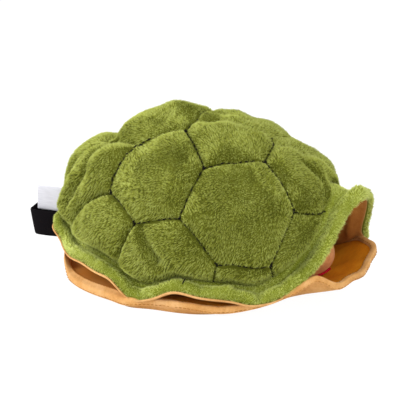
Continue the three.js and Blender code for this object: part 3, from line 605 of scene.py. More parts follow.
EDGE_HOLD, FAR_FOLD_SHARE, FOLD_GAIN, FOLD_LEAST = 1.3, 0.5, 1.5, 0.3


def corner_place(name):
    """Corner of the quilting on the flat pattern; rim corners lie on its edge."""
    if name in RIM_CORNERS:
        return np.array(pattern(-RIM_CORNERS[name], PATTERN_RADIUS))
    return np.array(QUILT_CORNERS[name], float)


MIRROR = np.array([1, -1])
quilt_right = [(corner_place(a), corner_place(b), hold) for a, b, hold in QUILT_LINES]
quilt_lines = quilt_right + [(a * MIRROR, b * MIRROR, hold) for a, b, hold in quilt_right]
quilt_lines += [(corner_place(a), corner_place(a) * MIRROR, hold) for a, hold in CROSS_LINES]


def line_distance(forward, sideways, start, end):
    """Distance on the pattern from points to a straight sewn line."""
    place = np.stack([forward, sideways], -1)
    run = end - start
    share = np.clip(((place - start) @ run) / (run @ run), 0, 1)
    return np.linalg.norm(place - start - share[..., None] * run, axis=-1)


def rise(distance):
    """Height of a cell from its sewn line: a quick step over the thread, then a long swell towards the middle."""
    step, swell = np.exp(-distance / STEP_LENGTH), np.exp(-distance / SWELL_LENGTH)
    return STEP_SHARE * (1 - step) + (1 - STEP_SHARE) * (1 - swell)


def quilting(forward, sideways):
    """Distance to the nearest sewn line, and the swell there: the least that any line or the edge allows."""
    edge = np.clip(PATTERN_RADIUS - np.hypot(forward, sideways), 0, None)
    nearest, swell = edge, rise(EDGE_HOLD * edge)
    for start, end, hold in quilt_lines:
        distance = line_distance(forward, sideways, start, end)
        nearest = np.minimum(nearest, distance)
        swell = np.minimum(swell, mix(hold, 1, rise(distance)))
    return nearest, swell


FAR_SHOULDER = ([(54, 50), (74, 60), (94, 76)], 17.0, 5.5)
FOLDS = [
    ([(-54, -33), (-60, -46), (-68, -53), (-72, -63), (-91, -67), (-108, -64)], 3.4, 6.2),
    ([(-79, -46), (-94, -44), (-106, -47)], 3.2, 4.6),
    ([(-20, -111), (-12, -122), (-4, -134)], 3.2, 5.0),
    ([(-26, -113), (-19, -124), (-12, -136)], 3.6, -2.0),
    ([(76, -21), (90, -26), (109, -29)], 4.0, 2.4),
    ([(0, -14), (22, -8), (44, -6), (56, -10)], 7.0, 3.2),
    ([(-36, -45), (-58, -34), (-66, -15), (-66, 15)], 9.0, 4.5),
    ([(-52, -62), (-66, -74), (-84, -82)], 5.0, -2.0),
    ([(-24, -53), (-41, -87)], 9.0, 3.6),
    ([(6, -36), (14, -17), (21, 0)], 5.0, -2.2),
    ([(-22, -4), (-10, 4), (-4, 16)], 12.0, -5.0),
    ([(-66, -15), (-66, 15)], 11.0, 7.0),
    ([(-118, -48), (-124, 0), (-118, 48)], 24.0, -3.2),
    ([(126, -40), (126, 0), (126, 40)], 22.0, 3.8),
    ([(74, 4), (96, 25), (100, 46)], 22.0, 6.0),
    ([(26, 24), (66, 28)], 20.0, 3.0),
    ([(-82, -14), (-82, 18)], 14.0, 1.9),
    ([(-54, -26), (-48, -8)], 7.0, 1.8),
]


def crease(forward, sideways, line, width):
    """Soft valley along a line of places on the pattern: 1 on the line, falling off over the width."""
    places = np.array(line, float)
    near = np.min([line_distance(forward, sideways, a, b) for a, b in zip(places[:-1], places[1:])], axis=0)
    return bell(near, width)


def cover_depth(forward, sideways):
    """Height of the plush backing over the dome: sewn lines lie deep, cells swell quickly and then level off.

    Slack folds press soft valleys or raise soft crests along their lines, less deep on the far side, and small
    ripples gather at the seams.
    """
    distance, swell = quilting(forward, sideways)
    radius, ray = np.hypot(forward, sideways), np.degrees(np.arctan2(np.abs(sideways), forward))
    front = np.clip((radius - FRONT_FROM) / FRONT_FADE, 0, 1) * np.clip((FRONT_RAY - ray) / FRONT_RAY_FADE, 0, 1)
    depth = SEAM_DEPTH - PILE_DEPTH + CELL_SWELL * swell * mix(1, FRONT_SLACK, front)
    line, width, sink = FAR_SHOULDER
    fold = sink * crease(forward, sideways, line, width)
    for line, width, sink in FOLDS:
        fold = fold + sink * crease(forward, sideways, line, width)
        fold = fold + FAR_FOLD_SHARE * sink * crease(forward, -sideways, line, width)
    depth = depth - fold * np.clip(swell * FOLD_GAIN, FOLD_LEAST, 1)
    base = dome_point(forward, sideways)
    for wavelength, seed, height in COVER_RIPPLES:
        depth = depth + height * ripple(base, wavelength, seed) * swell
    depth = depth + GATHER * ripple(base, GATHER_LENGTH, 23) * np.exp(-distance / GATHER_REACH)
    groove = SEAM_GROOVE + FLANK_GROOVE * bell(ray - FLANK_RAY, FLANK_WIDTH)
    return depth - groove * bell(PATTERN_RADIUS - radius - SEAM_INSET, SEAM_WIDTH)


COVER_ROUND = np.arange(0, 360, 0.75)[None, :]
cover_radii = np.linspace(1.25, PATTERN_RADIUS, 120)[:, None]
cover_forward, cover_sideways = pattern(COVER_ROUND, cover_radii)
cover_skin = on_dome(cover_forward, cover_sideways, cover_depth(cover_forward, cover_sideways))
back_radii = np.linspace(PATTERN_RADIUS, 6, 18)[:, None]
cover_back = on_dome(*pattern(COVER_ROUND, back_radii), LINING_OUTER + GAP)
crown_depth = float(cover_depth(np.array([0.01]), np.array([0.0]))[0])


def plush(name, root, mid, tip):
    """Plush: painted shade, dark at the roots and between the ribs of the pile, and a painted highlight, pale on the
    tips and rib crests, with soft patches where the nap turns.
    """
    material, shader, place, _ = start_cloth(
        name, Roughness=0.85, Sheen_Weight=0.3, Sheen_Roughness=0.4, Sheen_Tint=dye(tip), Specular_IOR_Level=0.12)
    patch = place.noise(45, 3).spread(0.3, 0.7)
    along = place.node("Attribute", {"attribute_name": "along"}, {}, 2)
    shade = place.node("Attribute", {"attribute_name": "shade"}, {}, 2)
    # Painted light: along runs from a dark root (painted shade) to a pale tip (painted highlight); shade is mostly
    # painted shade between the ribs and painted highlight on them, partly a random tone.
    tone = along * 0.35 + shade * 0.5 + patch * 0.15
    tone.ramp((0.05, root), (0.48, mid), (1.0, tip)).into(shader, "Base Color")
    return material


green_plush = plush("green_plush", "4a4e0c", "979d34", "d8e084")
cover = np.concatenate([cover_skin, cover_back])
carapace_cover = cloth_piece("carapace_quilted_cover", cover, nose=crown + (0, 0, crown_depth),
                             tail=crown + (0, 0, LINING_OUTER + GAP))
# The skin under the pile has no along or shade values and takes the darkest root tone: painted shade deep in the pile
# and between its ribs.
sew(carapace_cover, "shell", "plush_green", green_plush, "carapace_cover", "carapace_wadding")

PILE_COUNT, PILE_LENGTH, PILE_RADIUS, PILE_SUNK, PILE_BARE = 68000, 1.8, 0.2, 0.4, 1.1
PILE_STRAY, PILE_LEAN_SPREAD, PILE_UNEVENNESS = 0.14, 0.1, (0.8, 1.2)
PILE_SHORTEST, PILE_SHORT_REACH = 0.45, 2.0
PILE_LAYERS = [("first", 46, 41), ("second", 50, 57), ("third", 42, 71), ("fourth", 48, 83), ("fifth", 44, 97)]
RIB_SPACING, RIB_COMBING, RIB_WARP, RIB_WARP_LENGTH, RIB_FLOOR = 1.4, 0.82, 1.3, 26, 0.3
RIB_RUN, RIB_LENGTHS, RIB_SHADE = np.array([0.6, -0.3, 0.74]), (0.65, 1.25), 0.78
NAP, NAP_TURN, NAP_TURN_LENGTH = (-0.45, 0.2, -0.8), 0.8, 42


def drift(points, wavelength, seed):
    """Soft uneven vectors: a ripple of its own in each direction."""
    return np.stack([ripple(points, wavelength, seed + k) for k in range(3)], -1)


def pile(name, skin, gap, lean, reach, seed, material):
    """Plush pile: slim closed spikes set evenly by area over a grid of skin points, with none at a sewn line.

    They stand in fine winding ribs, which follow a wave warped by slow ripples. They are longer on a rib and painted
    paler there as a painted highlight, with painted shade between the ribs; each leans from the skin's outward
    direction towards a slowly turning nap.
    """
    rng = np.random.default_rng(seed)
    rows, columns = skin.shape[:2]
    right, down = np.roll(skin, -1, 1) - skin, np.roll(skin, -1, 0) - skin
    normal = np.cross(right, down)
    area = np.linalg.norm(normal, axis=-1)
    normal /= np.clip(area, 1e-9, None)[..., None]
    normal *= np.sign(((skin - skin.mean((0, 1))) * normal).sum()) or 1
    area[-1] = 0
    chosen = np.searchsorted(np.cumsum(area.ravel()) / area.sum(), rng.random(PILE_COUNT))
    r, c = np.divmod(np.clip(chosen, 0, rows * columns - 1), columns)
    a, b = rng.random((PILE_COUNT, 1)), rng.random((PILE_COUNT, 1))
    root = skin[r, c] + right[r, c] * a + down[r, c] * b
    combed = root - RIB_COMBING * (root @ RIB_RUN)[:, None] * RIB_RUN
    combed = combed + RIB_WARP * drift(root, RIB_WARP_LENGTH, 210)
    rib = np.clip(0.5 + 0.55 * ripple(combed, RIB_SPACING, 201, 40, (0.9, 1.1)), 0, 1)
    clear = mix(gap[r, c], gap[r, (c + 1) % columns], a[:, 0]) >= PILE_BARE
    grown = clear & (rib > RIB_FLOOR)
    r, c, a, b, root, rib = (values[grown] for values in (r, c, a, b, root, rib))
    count, outward = len(r), normal[r, c]
    nap = NAP_TURN * drift(root, NAP_TURN_LENGTH, 300) + np.array(reach)
    nap = unit(nap - (nap * outward).sum(-1, keepdims=True) * outward)
    stray = rng.normal(size=(count, 3)) * PILE_STRAY
    tilt = np.radians(lean) + rng.normal(size=(count, 1)) * PILE_LEAN_SPREAD
    heading = unit(outward * np.cos(tilt) + nap * np.sin(tilt) + stray)
    short = mix(1, PILE_SHORTEST, np.exp(-gap[r, c] / PILE_SHORT_REACH))
    long = PILE_LENGTH * short * mix(*RIB_LENGTHS, rib) * rng.uniform(*PILE_UNEVENNESS, count)
    side = unit(np.cross(heading, outward + 0.3 * stray))
    turn = np.array([0, 2, 4]) * np.pi / 3
    base = (root - outward * PILE_SUNK)[:, None] + PILE_RADIUS * circle(turn, side, np.cross(side, heading))
    vertices = np.concatenate([base, (root + heading * long[:, None])[:, None]], 1).reshape(-1, 3)
    one = np.array([(0, 1, 3), (1, 2, 3), (2, 0, 3), (0, 2, 1)])
    faces = (np.arange(count)[:, None, None] * 4 + one[None]).reshape(-1, 3)
    spot = np.stack([(c + a[:, 0]) / columns, (r + b[:, 0] + 1) / (rows + 1)], -1)
    nudge = np.array([(0, 0), (0.0006, 0), (0, 0.0006), (0.0012, 0.0012)])
    uv = (spot[:, None] + nudge[None]).reshape(-1, 2)
    piece = lay(name, vertices, faces.tolist(), uv[faces.ravel()])
    # Painted shade and highlight: each spike is dark at its root and pale at its tip, darker between ribs and paler
    # on them, mixed with a random tone.
    tips = np.tile([0.0, 0.0, 0.0, 1.0], count)
    shade = mix(rng.random(count), rib, RIB_SHADE)
    for attribute, values in (("along", tips), ("shade", np.repeat(shade, 4))):
        piece.data.attributes.new(attribute, "FLOAT", "POINT").data.foreach_set("value", values)
    sew(piece, "shell", "plush_green", material)


cover_gap = quilting(cover_forward, cover_sideways)[0]
for layer, lean, seed in PILE_LAYERS:
    pile(f"carapace_pile_{layer}", cover_skin, cover_gap, lean, NAP, seed, green_plush)

# ---- Quilting thread ----
# Heavy dark thread runs along every sewn line in short stitches, half sunk in the pile, and is knotted
# where lines meet.
dark_thread = thread_material("quilting_thread", "0a0703", "16110a")
QUILT_STITCH, QUILT_HALF_LENGTHS, QUILT_THREAD_RADIUS, QUILT_THREAD_LIFT = 4.6, (1.4, 2.3), 0.6, 1.1
QUILT_SLANT, QUILT_UNEVENNESS = 0.1, 0.35
KNOT_STRANDS, KNOT_SPREAD, KNOT_HALF_LENGTHS, KNOT_THREAD_RADIUS = 3, 0.6, (1.0, 1.9), 0.8
KNOT_LIFT, KNOT_UPRIGHTNESS = 1.0, 0.6
share = np.linspace(0, 1, 200)
thread_rows = []
for start, end, _ in quilt_lines:
    forward, sideways = mix(start, end, share[:, None]).T
    trail = on_dome(forward, sideways, cover_depth(forward, sideways) + QUILT_THREAD_LIFT)
    spot = spaced(trail, share, QUILT_STITCH, QUILT_STITCH / 2)
    here, ahead = (np.stack([np.interp(spot + step, share, trail[:, k]) for k in range(3)], -1)
                   for step in (-0.01, 0.01))
    thread_rows.append(((here + ahead) / 2, unit(ahead - here), dome_normal(*mix(start, end, spot[:, None]).T)))
thread_centres, thread_heading, thread_up = map(np.concatenate, zip(*thread_rows))
rng = np.random.default_rng(77)
thread_heading = unit(thread_heading + rng.normal(size=thread_heading.shape) * QUILT_SLANT)
thread_centres += thread_up * rng.normal(size=(len(thread_up), 1)) * QUILT_UNEVENNESS
stitches("quilting_stitches", thread_centres, thread_heading, thread_up,
         rng.uniform(*QUILT_HALF_LENGTHS, len(thread_up)), QUILT_THREAD_RADIUS, "plush_green", dark_thread)
knot_places = np.array(list(QUILT_CORNERS.values()), float)
knot_places = np.repeat(np.concatenate([knot_places, knot_places * MIRROR]), KNOT_STRANDS, axis=0)
knot_places += rng.normal(size=knot_places.shape) * KNOT_SPREAD
knot_up = dome_normal(*knot_places.T)
knot_heading = unit(rng.normal(size=knot_up.shape) + KNOT_UPRIGHTNESS * knot_up)
knot_centres = on_dome(*knot_places.T, cover_depth(*knot_places.T) + KNOT_LIFT)
stitches("quilting_knots", knot_centres, knot_heading, knot_up + 0.01,
         rng.uniform(*KNOT_HALF_LENGTHS, len(knot_up)), KNOT_THREAD_RADIUS, "plush_green", dark_thread)

# ---- Plush edge of the upper shell ----
# The free edge is a soft rolled band of the same plush, painted in paler colours as a painted highlight for the light
# it catches, sewn to the dome along its seam and lined by the facing.
# A dark tack stitch catches it on each side, and the pile is left out under the loop, which swings there.
BAND_ROLL_WIDTH, BAND_ROLL_HEIGHT, BAND_CREASE, BAND_END = 9.5, 6.0, 3.7, 1.8
BAND_FRONT_WIDTH, BAND_FRONT_HEIGHT, BAND_FRONT_END = 12, 6.5, 0.8
BAND_TUCK, BAND_FRONT_TUCK, BAND_TUCK_DEPTHS, BAND_SKIN, BAND_LOW_INSET = 3, 7, (5.0, 1.8), 1.6, 5
BAND_PUCKERS = [(17, 31, 0.22), (7, 32, 0.1)]
BAND_FOLDS = [
    (-56, 2.2, 0.7), (-50, 4, -0.25), (-63, 4.5, -0.2), (-75, 4, 0.3), (-104, 5, 0.35), (52, 3, 0.5), (76, 4, 0.3),
]
BAND_NOSE = [(0.3, 2.6, 4.0), (1.2, 2.9, 5.2), (3.0, 3.2, 5.4), (4.2, 3.6, 4.6)]
NOSE_INSET, NOSE_PILE_ROWS = 0.02, 3
RIM_LEAN, RIM_NAP, RIM_SEED = 40, (0.5, 0, 0.3), 63
LOOP_BARE, LOOP_BARE_SLOPE, PILE_FREE, LOOP_BEHIND_X = 8.0, 1.5, 9.0, -120
band_end = 1 - mix(BAND_END, BAND_FRONT_END, front_edge) / band_length
roll_start = np.clip(1 - mix(BAND_ROLL_WIDTH, BAND_FRONT_WIDTH, front_edge) / (band_length * band_end), 0, 1)
pucker = 1 + sum(height * ripple(rim, wavelength, seed) for wavelength, seed, height in BAND_PUCKERS)[:, None]
for middle, width, sink in BAND_FOLDS:
    pucker = pucker - sink * bell(edge_turn - middle, width)
band_back = mix(BAND_TUCK, BAND_FRONT_TUCK, front_edge) / band_length
band_skirt = [band_place(-band_back, depth) for depth in BAND_TUCK_DEPTHS]
band_skirt += [band_place(s * roll_start * band_end, mix(BAND_SKIN, BAND_CREASE, s**2))
               for s in np.linspace(0, 1, 7)[:-1]]
roll = (1 - np.cos(np.linspace(0, np.pi, 22))) / 2
band_height = mix(BAND_ROLL_HEIGHT, BAND_FRONT_HEIGHT, front_edge) * pucker
band_roll = [band_place(mix(roll_start, 1, u) * band_end,
                        BAND_CREASE - band_height * np.sin(np.pi * u) ** ROLL_ROUNDNESS) for u in roll]
band_nose = [band_place(band_end - (back * front_edge + NOSE_INSET) / band_length,
                        mix(side_depth, front_depth, front_edge))
             for back, side_depth, front_depth in BAND_NOSE]
band_low = [band_place(s * (band_end - BAND_LOW_INSET / band_length), BAND_THICKNESS) for s in np.linspace(1, 0, 10)]
band_grid = np.array(band_skirt + band_roll + band_nose + band_low)
rim_band = cloth_piece("rim_plush_band", band_grid, ring=True)
# Painted highlight: a paler copy of the green plush, for the light that falls on the band; its skin takes the root
# tone, painted shade.
lit_band_plush = plush("lit_band_plush", "767e23", "c8d060", "e9f19e")
sew(rim_band, "shell", "plush_green", lit_band_plush, "rim_band")
band_face = band_grid[1:len(band_skirt) + len(band_roll) + NOSE_PILE_ROWS]
beside_loop = LOOP_BARE_SLOPE * np.abs(band_face[..., 1]) - LOOP_BARE
beside_loop = np.where(band_face[..., 0] < LOOP_BEHIND_X, beside_loop, PILE_FREE)
pile("rim_pile", band_face, np.clip(beside_loop, 0, PILE_FREE), RIM_LEAN, RIM_NAP, RIM_SEED, lit_band_plush)

TACK_ANGLES, TACK_HALF_LENGTH, TACK_RADIUS, TACK_LIFT = (82.2, 277.8), 3.4, 0.6, 1.3
tack = np.searchsorted(EDGE_ROUND, TACK_ANGLES)
tack_top = band_roll[len(roll) // 2][tack] - band_in[tack] * TACK_LIFT
stitches("rim_tack_stitches", tack_top, band_out[tack], -band_in[tack], np.full(len(tack), TACK_HALF_LENGTH),
         TACK_RADIUS, "plush_green", dark_thread)

# ---- Side gussets ----
# A strip of brown lining on each side sews the upper shell to the under shell, out of sight behind the edge.
GUSSET_FROM, GUSSET_TO = 67.5, 112.5
GUSSET_THICKNESS, GUSSET_LAP, GUSSET_CLEARANCE = 2, 6, 0.8
for side, side_name in ((1, "left"), (-1, "right")):
    forward, sideways = pattern(side * np.linspace(GUSSET_FROM, GUSSET_TO, 40), PATTERN_RADIUS)
    outer = on_dome(forward, sideways, LINING_INNER - GUSSET_CLEARANCE)
    inner = on_dome(forward, sideways, LINING_INNER - GUSSET_CLEARANCE - GUSSET_THICKNESS)
    low, high = PAD_THICKNESS + GAP, outer[:, 2] + GUSSET_LAP
    climb = np.linspace(0, 1, 10)
    out_face = [np.stack([outer[:, 0], outer[:, 1], mix(low, high, u)], -1) for u in climb]
    in_face = [np.stack([inner[:, 0], inner[:, 1], mix(low, high, u)], -1) for u in climb[::-1]]
    gusset = cloth_piece(f"side_gusset_{side_name}_strip", np.array(out_face + in_face).transpose(1, 0, 2))
    sew(gusset, "shell", "lining_brown", brown_lining, f"side_gusset_{side_name}")
    float((high - low).mean()) * MM

# ---- Cuff and sleeve for the hand ----
# A tan cuff at the rear takes the wrist, and a soft sleeve leads the hand forward to the neck.
CUFF_REAR_X, CUFF_FRONT_X, CUFF_HALF_WIDTH, CUFF_HEIGHT, CUFF_WALL = -106, -90, 38, 28, 2.4
SLEEVE_HALF_WIDTH, SLEEVE_HALF_HEIGHT, SLEEVE_FRONT_Z, SLEEVE_WALL = 18, 17, 31, 1.6
HAND_TUBE_SQUARENESS, SLEEVE_GATHERS = 3, 0.35
cuff_middle = PAD_THICKNESS + GAP + CUFF_HEIGHT / 2


def tube(sections, wall, squareness, gathers=0.0):
    """Open cloth tube: superellipse sections [x, half width, half height, middle] outside, then inside by wall.

    Gathers press shallow lengthwise folds into both faces.
    """
    turn = np.linspace(0, 360, 96, endpoint=False)
    across, up = oval(turn, 1, 1, 1, squareness).T
    fold = gathers * (np.sin(np.radians(turn * 11)) + 0.6 * np.sin(np.radians(turn * 17 + 40)) - 1.6)

    def face(rows, inset):
        x, half_width, half_height, middle = rows.T[..., None]
        swing = fold * np.sin(np.pi * np.linspace(0, 1, len(rows)))[:, None] - inset
        return np.stack([x + 0 * turn, across * (half_width + swing), middle + up * (half_height + swing)], -1)

    return np.concatenate([face(sections, 0.0), face(sections[::-1], wall)])


cuff_end = np.array([CUFF_FRONT_X, CUFF_HALF_WIDTH, CUFF_HEIGHT / 2, cuff_middle])
cuff_start = np.array([CUFF_REAR_X, *cuff_end[1:]])
cuff_rows = tube(mix(cuff_start, cuff_end, np.linspace(0, 1, 14)[:, None]), CUFF_WALL, HAND_TUBE_SQUARENESS)
hand_cuff = cloth_piece("hand_cuff_band", cuff_rows, ring=True)
sew(hand_cuff, "shell", "velour_tan", tan_velour, "hand_cuff")
girth(cuff_rows[0])
sleeve_start = np.array([CUFF_FRONT_X + GAP, *cuff_end[1:]])
sleeve_end = np.array([0, SLEEVE_HALF_WIDTH, SLEEVE_HALF_HEIGHT, SLEEVE_FRONT_Z])
sleeve_sections = mix(sleeve_start, sleeve_end, np.linspace(0, 1, 40)[:, None])
sleeve_rows = tube(sleeve_sections, SLEEVE_WALL, HAND_TUBE_SQUARENESS, SLEEVE_GATHERS)
sleeve_outside = sleeve_rows[:len(sleeve_sections)]
hand_sleeve = cloth_piece("hand_sleeve_tube", sleeve_rows, ring=True)
sew(hand_sleeve, "shell", "velour_tan", tan_velour, "hand_sleeve")
girth(sleeve_rows[0])
cut_area(sleeve_outside)

# ---- Neck ----
# The neck is a gathered tube of pink-brown velour from the sleeve to the head.
HEAD_X, HEAD_Z = 73, 33
HEAD_HALF_LENGTH, HEAD_HALF_WIDTH, HEAD_HALF_HEIGHT, HEAD_TAPER, HEAD_BLUNTNESS = 26.8, 24, 20.5, 0.1, 0.86
HEAD_OPENING_X = 51
POCKET_REAR_X, POCKET_TIP_X, POCKET_RADIUS, POCKET_WALL = 36, 58, 9, 1.4
NECK_WALL, NECK_SETBACK, NECK_GATHERS = 1.4, 3.6, 0.12
neck_radius = POCKET_RADIUS + GAP + NECK_WALL
knots = np.array([[0.3, SLEEVE_HALF_WIDTH, SLEEVE_HALF_HEIGHT, SLEEVE_FRONT_Z],
                  [POCKET_REAR_X, neck_radius + GAP, neck_radius + GAP, HEAD_Z],
                  [HEAD_OPENING_X - NECK_SETBACK, neck_radius, neck_radius, HEAD_Z]])
neck_x = np.linspace(knots[0, 0], knots[-1, 0], 48)
neck_sections = np.stack([np.interp(neck_x, knots[:, 0], knots[:, k]) for k in range(4)], -1)
pink_velour = velour("pink_velour", "b46e40", "d6925c", "ecb080")
neck_rows = tube(neck_sections, NECK_WALL, ELLIPSE, NECK_GATHERS)
neck_outside = neck_rows[:len(neck_x)]
neck_sleeve = cloth_piece("neck_sleeve_tube", neck_rows, ring=True)
neck_sleeve.data.materials.append(pink_velour)
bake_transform(neck_sleeve)
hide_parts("neck_sleeve")
girth(neck_rows[0])
cut_area(neck_outside)

# ---- Finger pocket ----
# A brown lining pocket inside the neck takes two fingertips and carries the head on its rounded tip.
POCKET_ROUND = np.radians(np.arange(0, 360, 6))


def neck_rings(x, radius, turn):
    """Rings about the neck's axis at the given places and radii."""
    x, radius = np.asarray(x)[:, None], np.asarray(radius)[:, None]
    return np.stack([x + 0 * turn, radius * np.sin(turn), HEAD_Z + radius * np.cos(turn)], -1)


tip_angle = np.radians(np.linspace(6, 90, 14))
tip_back = tip_angle[::-1]
straight = np.linspace(POCKET_TIP_X, POCKET_REAR_X, 12)[1:]
inner_radius = POCKET_RADIUS - POCKET_WALL
pocket_x = np.concatenate([POCKET_TIP_X + POCKET_RADIUS * np.cos(tip_angle), straight, straight[::-1],
                           POCKET_TIP_X + inner_radius * np.cos(tip_back)])
pocket_radius = np.concatenate([POCKET_RADIUS * np.sin(tip_angle), 0 * straight + POCKET_RADIUS,
                                0 * straight + inner_radius, inner_radius * np.sin(tip_back)])
pocket = neck_rings(pocket_x, pocket_radius, POCKET_ROUND)
head_pocket = cloth_piece("head_pocket_lining", pocket, nose=(POCKET_TIP_X + POCKET_RADIUS, 0, HEAD_Z),
                          tail=(POCKET_TIP_X + inner_radius, 0, HEAD_Z))
sew(head_pocket, "finger_slide", "lining_brown", brown_lining, "head_pocket")
pocket_outer = pocket[:len(tip_angle) + len(straight)]
girth(pocket_outer[-1])
cut_area(pocket_outer)

# ---- Head ----
# The head is a stuffed egg of pink-brown velour, narrower at the nose, hollow at the back for the pocket.
NOD_CLEARANCE, NOD_ANGLE = 0.4, 12


def head_point(from_nose, around):
    """Egg along X: angle from the nose and angle round from the top, in degrees."""
    a, b = np.radians(from_nose), np.radians(around)
    s = np.sin(a) ** HEAD_BLUNTNESS * (1 - HEAD_TAPER * np.cos(a))
    return np.stack([HEAD_X + HEAD_HALF_LENGTH * np.cos(a) + 0 * b, HEAD_HALF_WIDTH * s * np.sin(b),
                     HEAD_Z + HEAD_HALF_HEIGHT * s * np.cos(b)], -1)


HEAD_ROUND = np.arange(0, 360, 4.0)
last = np.degrees(np.arccos((HEAD_OPENING_X - HEAD_X) / HEAD_HALF_LENGTH))
head_skin = head_point(np.linspace(3, last, 56)[:, None], HEAD_ROUND)
hollow = POCKET_RADIUS + NOD_CLEARANCE
mouth_radius = hollow + (POCKET_TIP_X - HEAD_OPENING_X) * np.tan(np.radians(NOD_ANGLE))
hollow_x = np.concatenate([[HEAD_OPENING_X, POCKET_TIP_X], POCKET_TIP_X + hollow * np.cos(tip_back)[1:]])
hollow_radius = np.concatenate([[mouth_radius, hollow], hollow * np.sin(tip_back)[1:]])
head_hollow = neck_rings(hollow_x, hollow_radius, np.radians(HEAD_ROUND))
head_cover = cloth_piece("head_velour_cover", np.concatenate([head_skin, head_hollow]),
                         nose=(HEAD_X + HEAD_HALF_LENGTH, 0, HEAD_Z), tail=(POCKET_TIP_X + hollow, 0, HEAD_Z))
sew(head_cover, "head", "velour_pink", pink_velour, "head_cover", "head_stuffing")

# ---- Eyes ----
# Two small domed black beads with a flat back sit on the cheeks, polished.
EYE_RADIUS, EYE_HEIGHT, EYE_FROM_NOSE, EYE_FROM_TOP = 3.2, 2.2, 62, 48
eye_black, shader, place, _ = start_cloth("eye_black", Roughness=0.12, Coat_Weight=0.6, Coat_Roughness=0.05)
place.noise(300, 2).spread(0.3, 0.7).between(dye("120d0a"), dye("2a1c12")).into(shader, "Base Color")


def head_normal(from_nose, around):
    """Outward direction of the head's skin, from small steps."""
    down = head_point(from_nose + 0.5, around) - head_point(from_nose - 0.5, around)
    across = head_point(from_nose, around + 0.5) - head_point(from_nose, around - 0.5)
    normal = np.cross(across, down)
    normal *= np.sign((normal * (head_point(from_nose, around) - (HEAD_X, 0, HEAD_Z))).sum(-1, keepdims=True))
    return unit(normal)


bead = np.radians(np.linspace(0, 84, 16))[:, None, None]
bead_round = np.radians(np.arange(0, 360, 7.5))
for side, side_name in ((1, "left"), (-1, "right")):
    from_nose, around = float(EYE_FROM_NOSE), float(side * EYE_FROM_TOP)
    outward = head_normal(from_nose, around)
    seat = head_point(from_nose, around) + outward * GAP
    across = unit(np.cross(outward, (0, 0, 1)))
    ring = circle(bead_round, across, np.cross(outward, across))
    ring = seat + EYE_RADIUS * np.cos(bead) * ring + EYE_HEIGHT * np.sin(bead) * outward
    eye = cloth_piece(f"eye_{side_name}_bead", ring, nose=seat, tail=seat + outward * EYE_HEIGHT)
    sew(eye, "head", "eye_black", eye_black, f"eye_{side_name}")

# ---- Mouth ----
# One heavy red thread is couched round the snout as a mouth, twisted like a cord.
MOUTH_RADIUS, MOUTH_STAND_OFF, MOUTH_TWIST, MOUTH_TURNS = 0.85, 0.2, 0.16, 70
MOUTH_FROM_NOSE, MOUTH_CORNER_FROM_NOSE, MOUTH_CORNER_DROP = 28, 70, 55
red_thread = thread_material("mouth_thread", "8e0016", "c8102c")
share = np.linspace(-1, 1, 160)
from_nose = mix(MOUTH_FROM_NOSE, MOUTH_CORNER_FROM_NOSE, share**2)
around = 180 + share * (90 - MOUTH_CORNER_DROP)
mouth_up = head_normal(from_nose, around)
mouth_trail = head_point(from_nose, around) + mouth_up * (MOUTH_RADIUS + MOUTH_STAND_OFF)
mouth_heading = unit(np.gradient(mouth_trail, axis=0))
turn = np.linspace(0, 2 * np.pi, 14, endpoint=False)
twist = MOUTH_RADIUS * (1 + MOUTH_TWIST * np.cos(2 * turn + MOUTH_TURNS * share[:, None]))
mouth_rows = mouth_trail[:, None] + twist[..., None] * circle(turn, np.cross(mouth_heading, mouth_up), mouth_up)
mouth_line = cloth_piece("mouth_line_thread", mouth_rows)
sew(mouth_line, "head", "thread_red", red_thread, "mouth_line")

# ---- Hanging loop ----
# A strip of black webbing is folded into a loop and sewn in under the rear edge; its return side rises.
LOOP_ROOT_X, LOOP_LEAN = -130.9, 0.2
LOOP_ROOT_CHAMFER, LOOP_LENGTH, LOOP_HALF_SPREAD = 2, 34, 5.5
WEBBING_WIDTH, WEBBING_THICKNESS, STRIP_SQUARENESS = 21, 1.6, 7.0
LOOP_LOW_Z, LOOP_HIGH_Z, LOOP_RISE_FROM, LOOP_RISE_SHARE = 29.7, 51.0, 0.46, 0.5


def strip(path, thickness, width):
    """Flat strip on edge: a rounded upright section carried along a path of [x, y, z] points.

    The section is a flattened superellipse, thickness across the path and width upright.
    """
    heading = np.gradient(path, axis=0)
    normal = unit(np.stack([heading[:, 1], -heading[:, 0], 0 * heading[:, 0]], -1))
    across, up = oval(np.linspace(0, 360, 16, endpoint=False), 0.5, 0.5, 0.5, STRIP_SQUARENESS).T[..., None]
    return path[:, None] + across * thickness * normal[:, None] + up * width * np.array([0, 0, 1])
turn = np.linspace(0, 2 * np.pi, 90)
out = (1 - np.cos(turn)) / 2
half = (GAP + WEBBING_THICKNESS) / 2
loop_x = LOOP_ROOT_X - LOOP_ROOT_CHAMFER - out * (LOOP_LENGTH - LOOP_ROOT_CHAMFER)
loop_y = -np.sign(np.sin(turn)) * np.sqrt(np.abs(np.sin(turn)) * out) * LOOP_HALF_SPREAD - half * np.cos(turn / 2)
climb = np.clip((turn / (2 * np.pi) - LOOP_RISE_FROM) / LOOP_RISE_SHARE, 0, 1)
loop_path = np.stack([loop_x, loop_y, mix(LOOP_LOW_Z, LOOP_HIGH_Z, ease(climb))], -1)
lead = np.array([[LOOP_ROOT_X + 0.1, -half, LOOP_LOW_Z], [LOOP_ROOT_X - 1, -half, LOOP_LOW_Z]])
lead_back = np.array([[LOOP_ROOT_X - 1, half, LOOP_HIGH_Z], [LOOP_ROOT_X + 0.1, half, LOOP_HIGH_Z]])
loop_path = np.concatenate([lead, loop_path, lead_back])
black_webbing, shader, place, own = start_cloth("black_webbing", Roughness=0.9, Specular_IOR_Level=0.08)
across, along, _ = own.split()
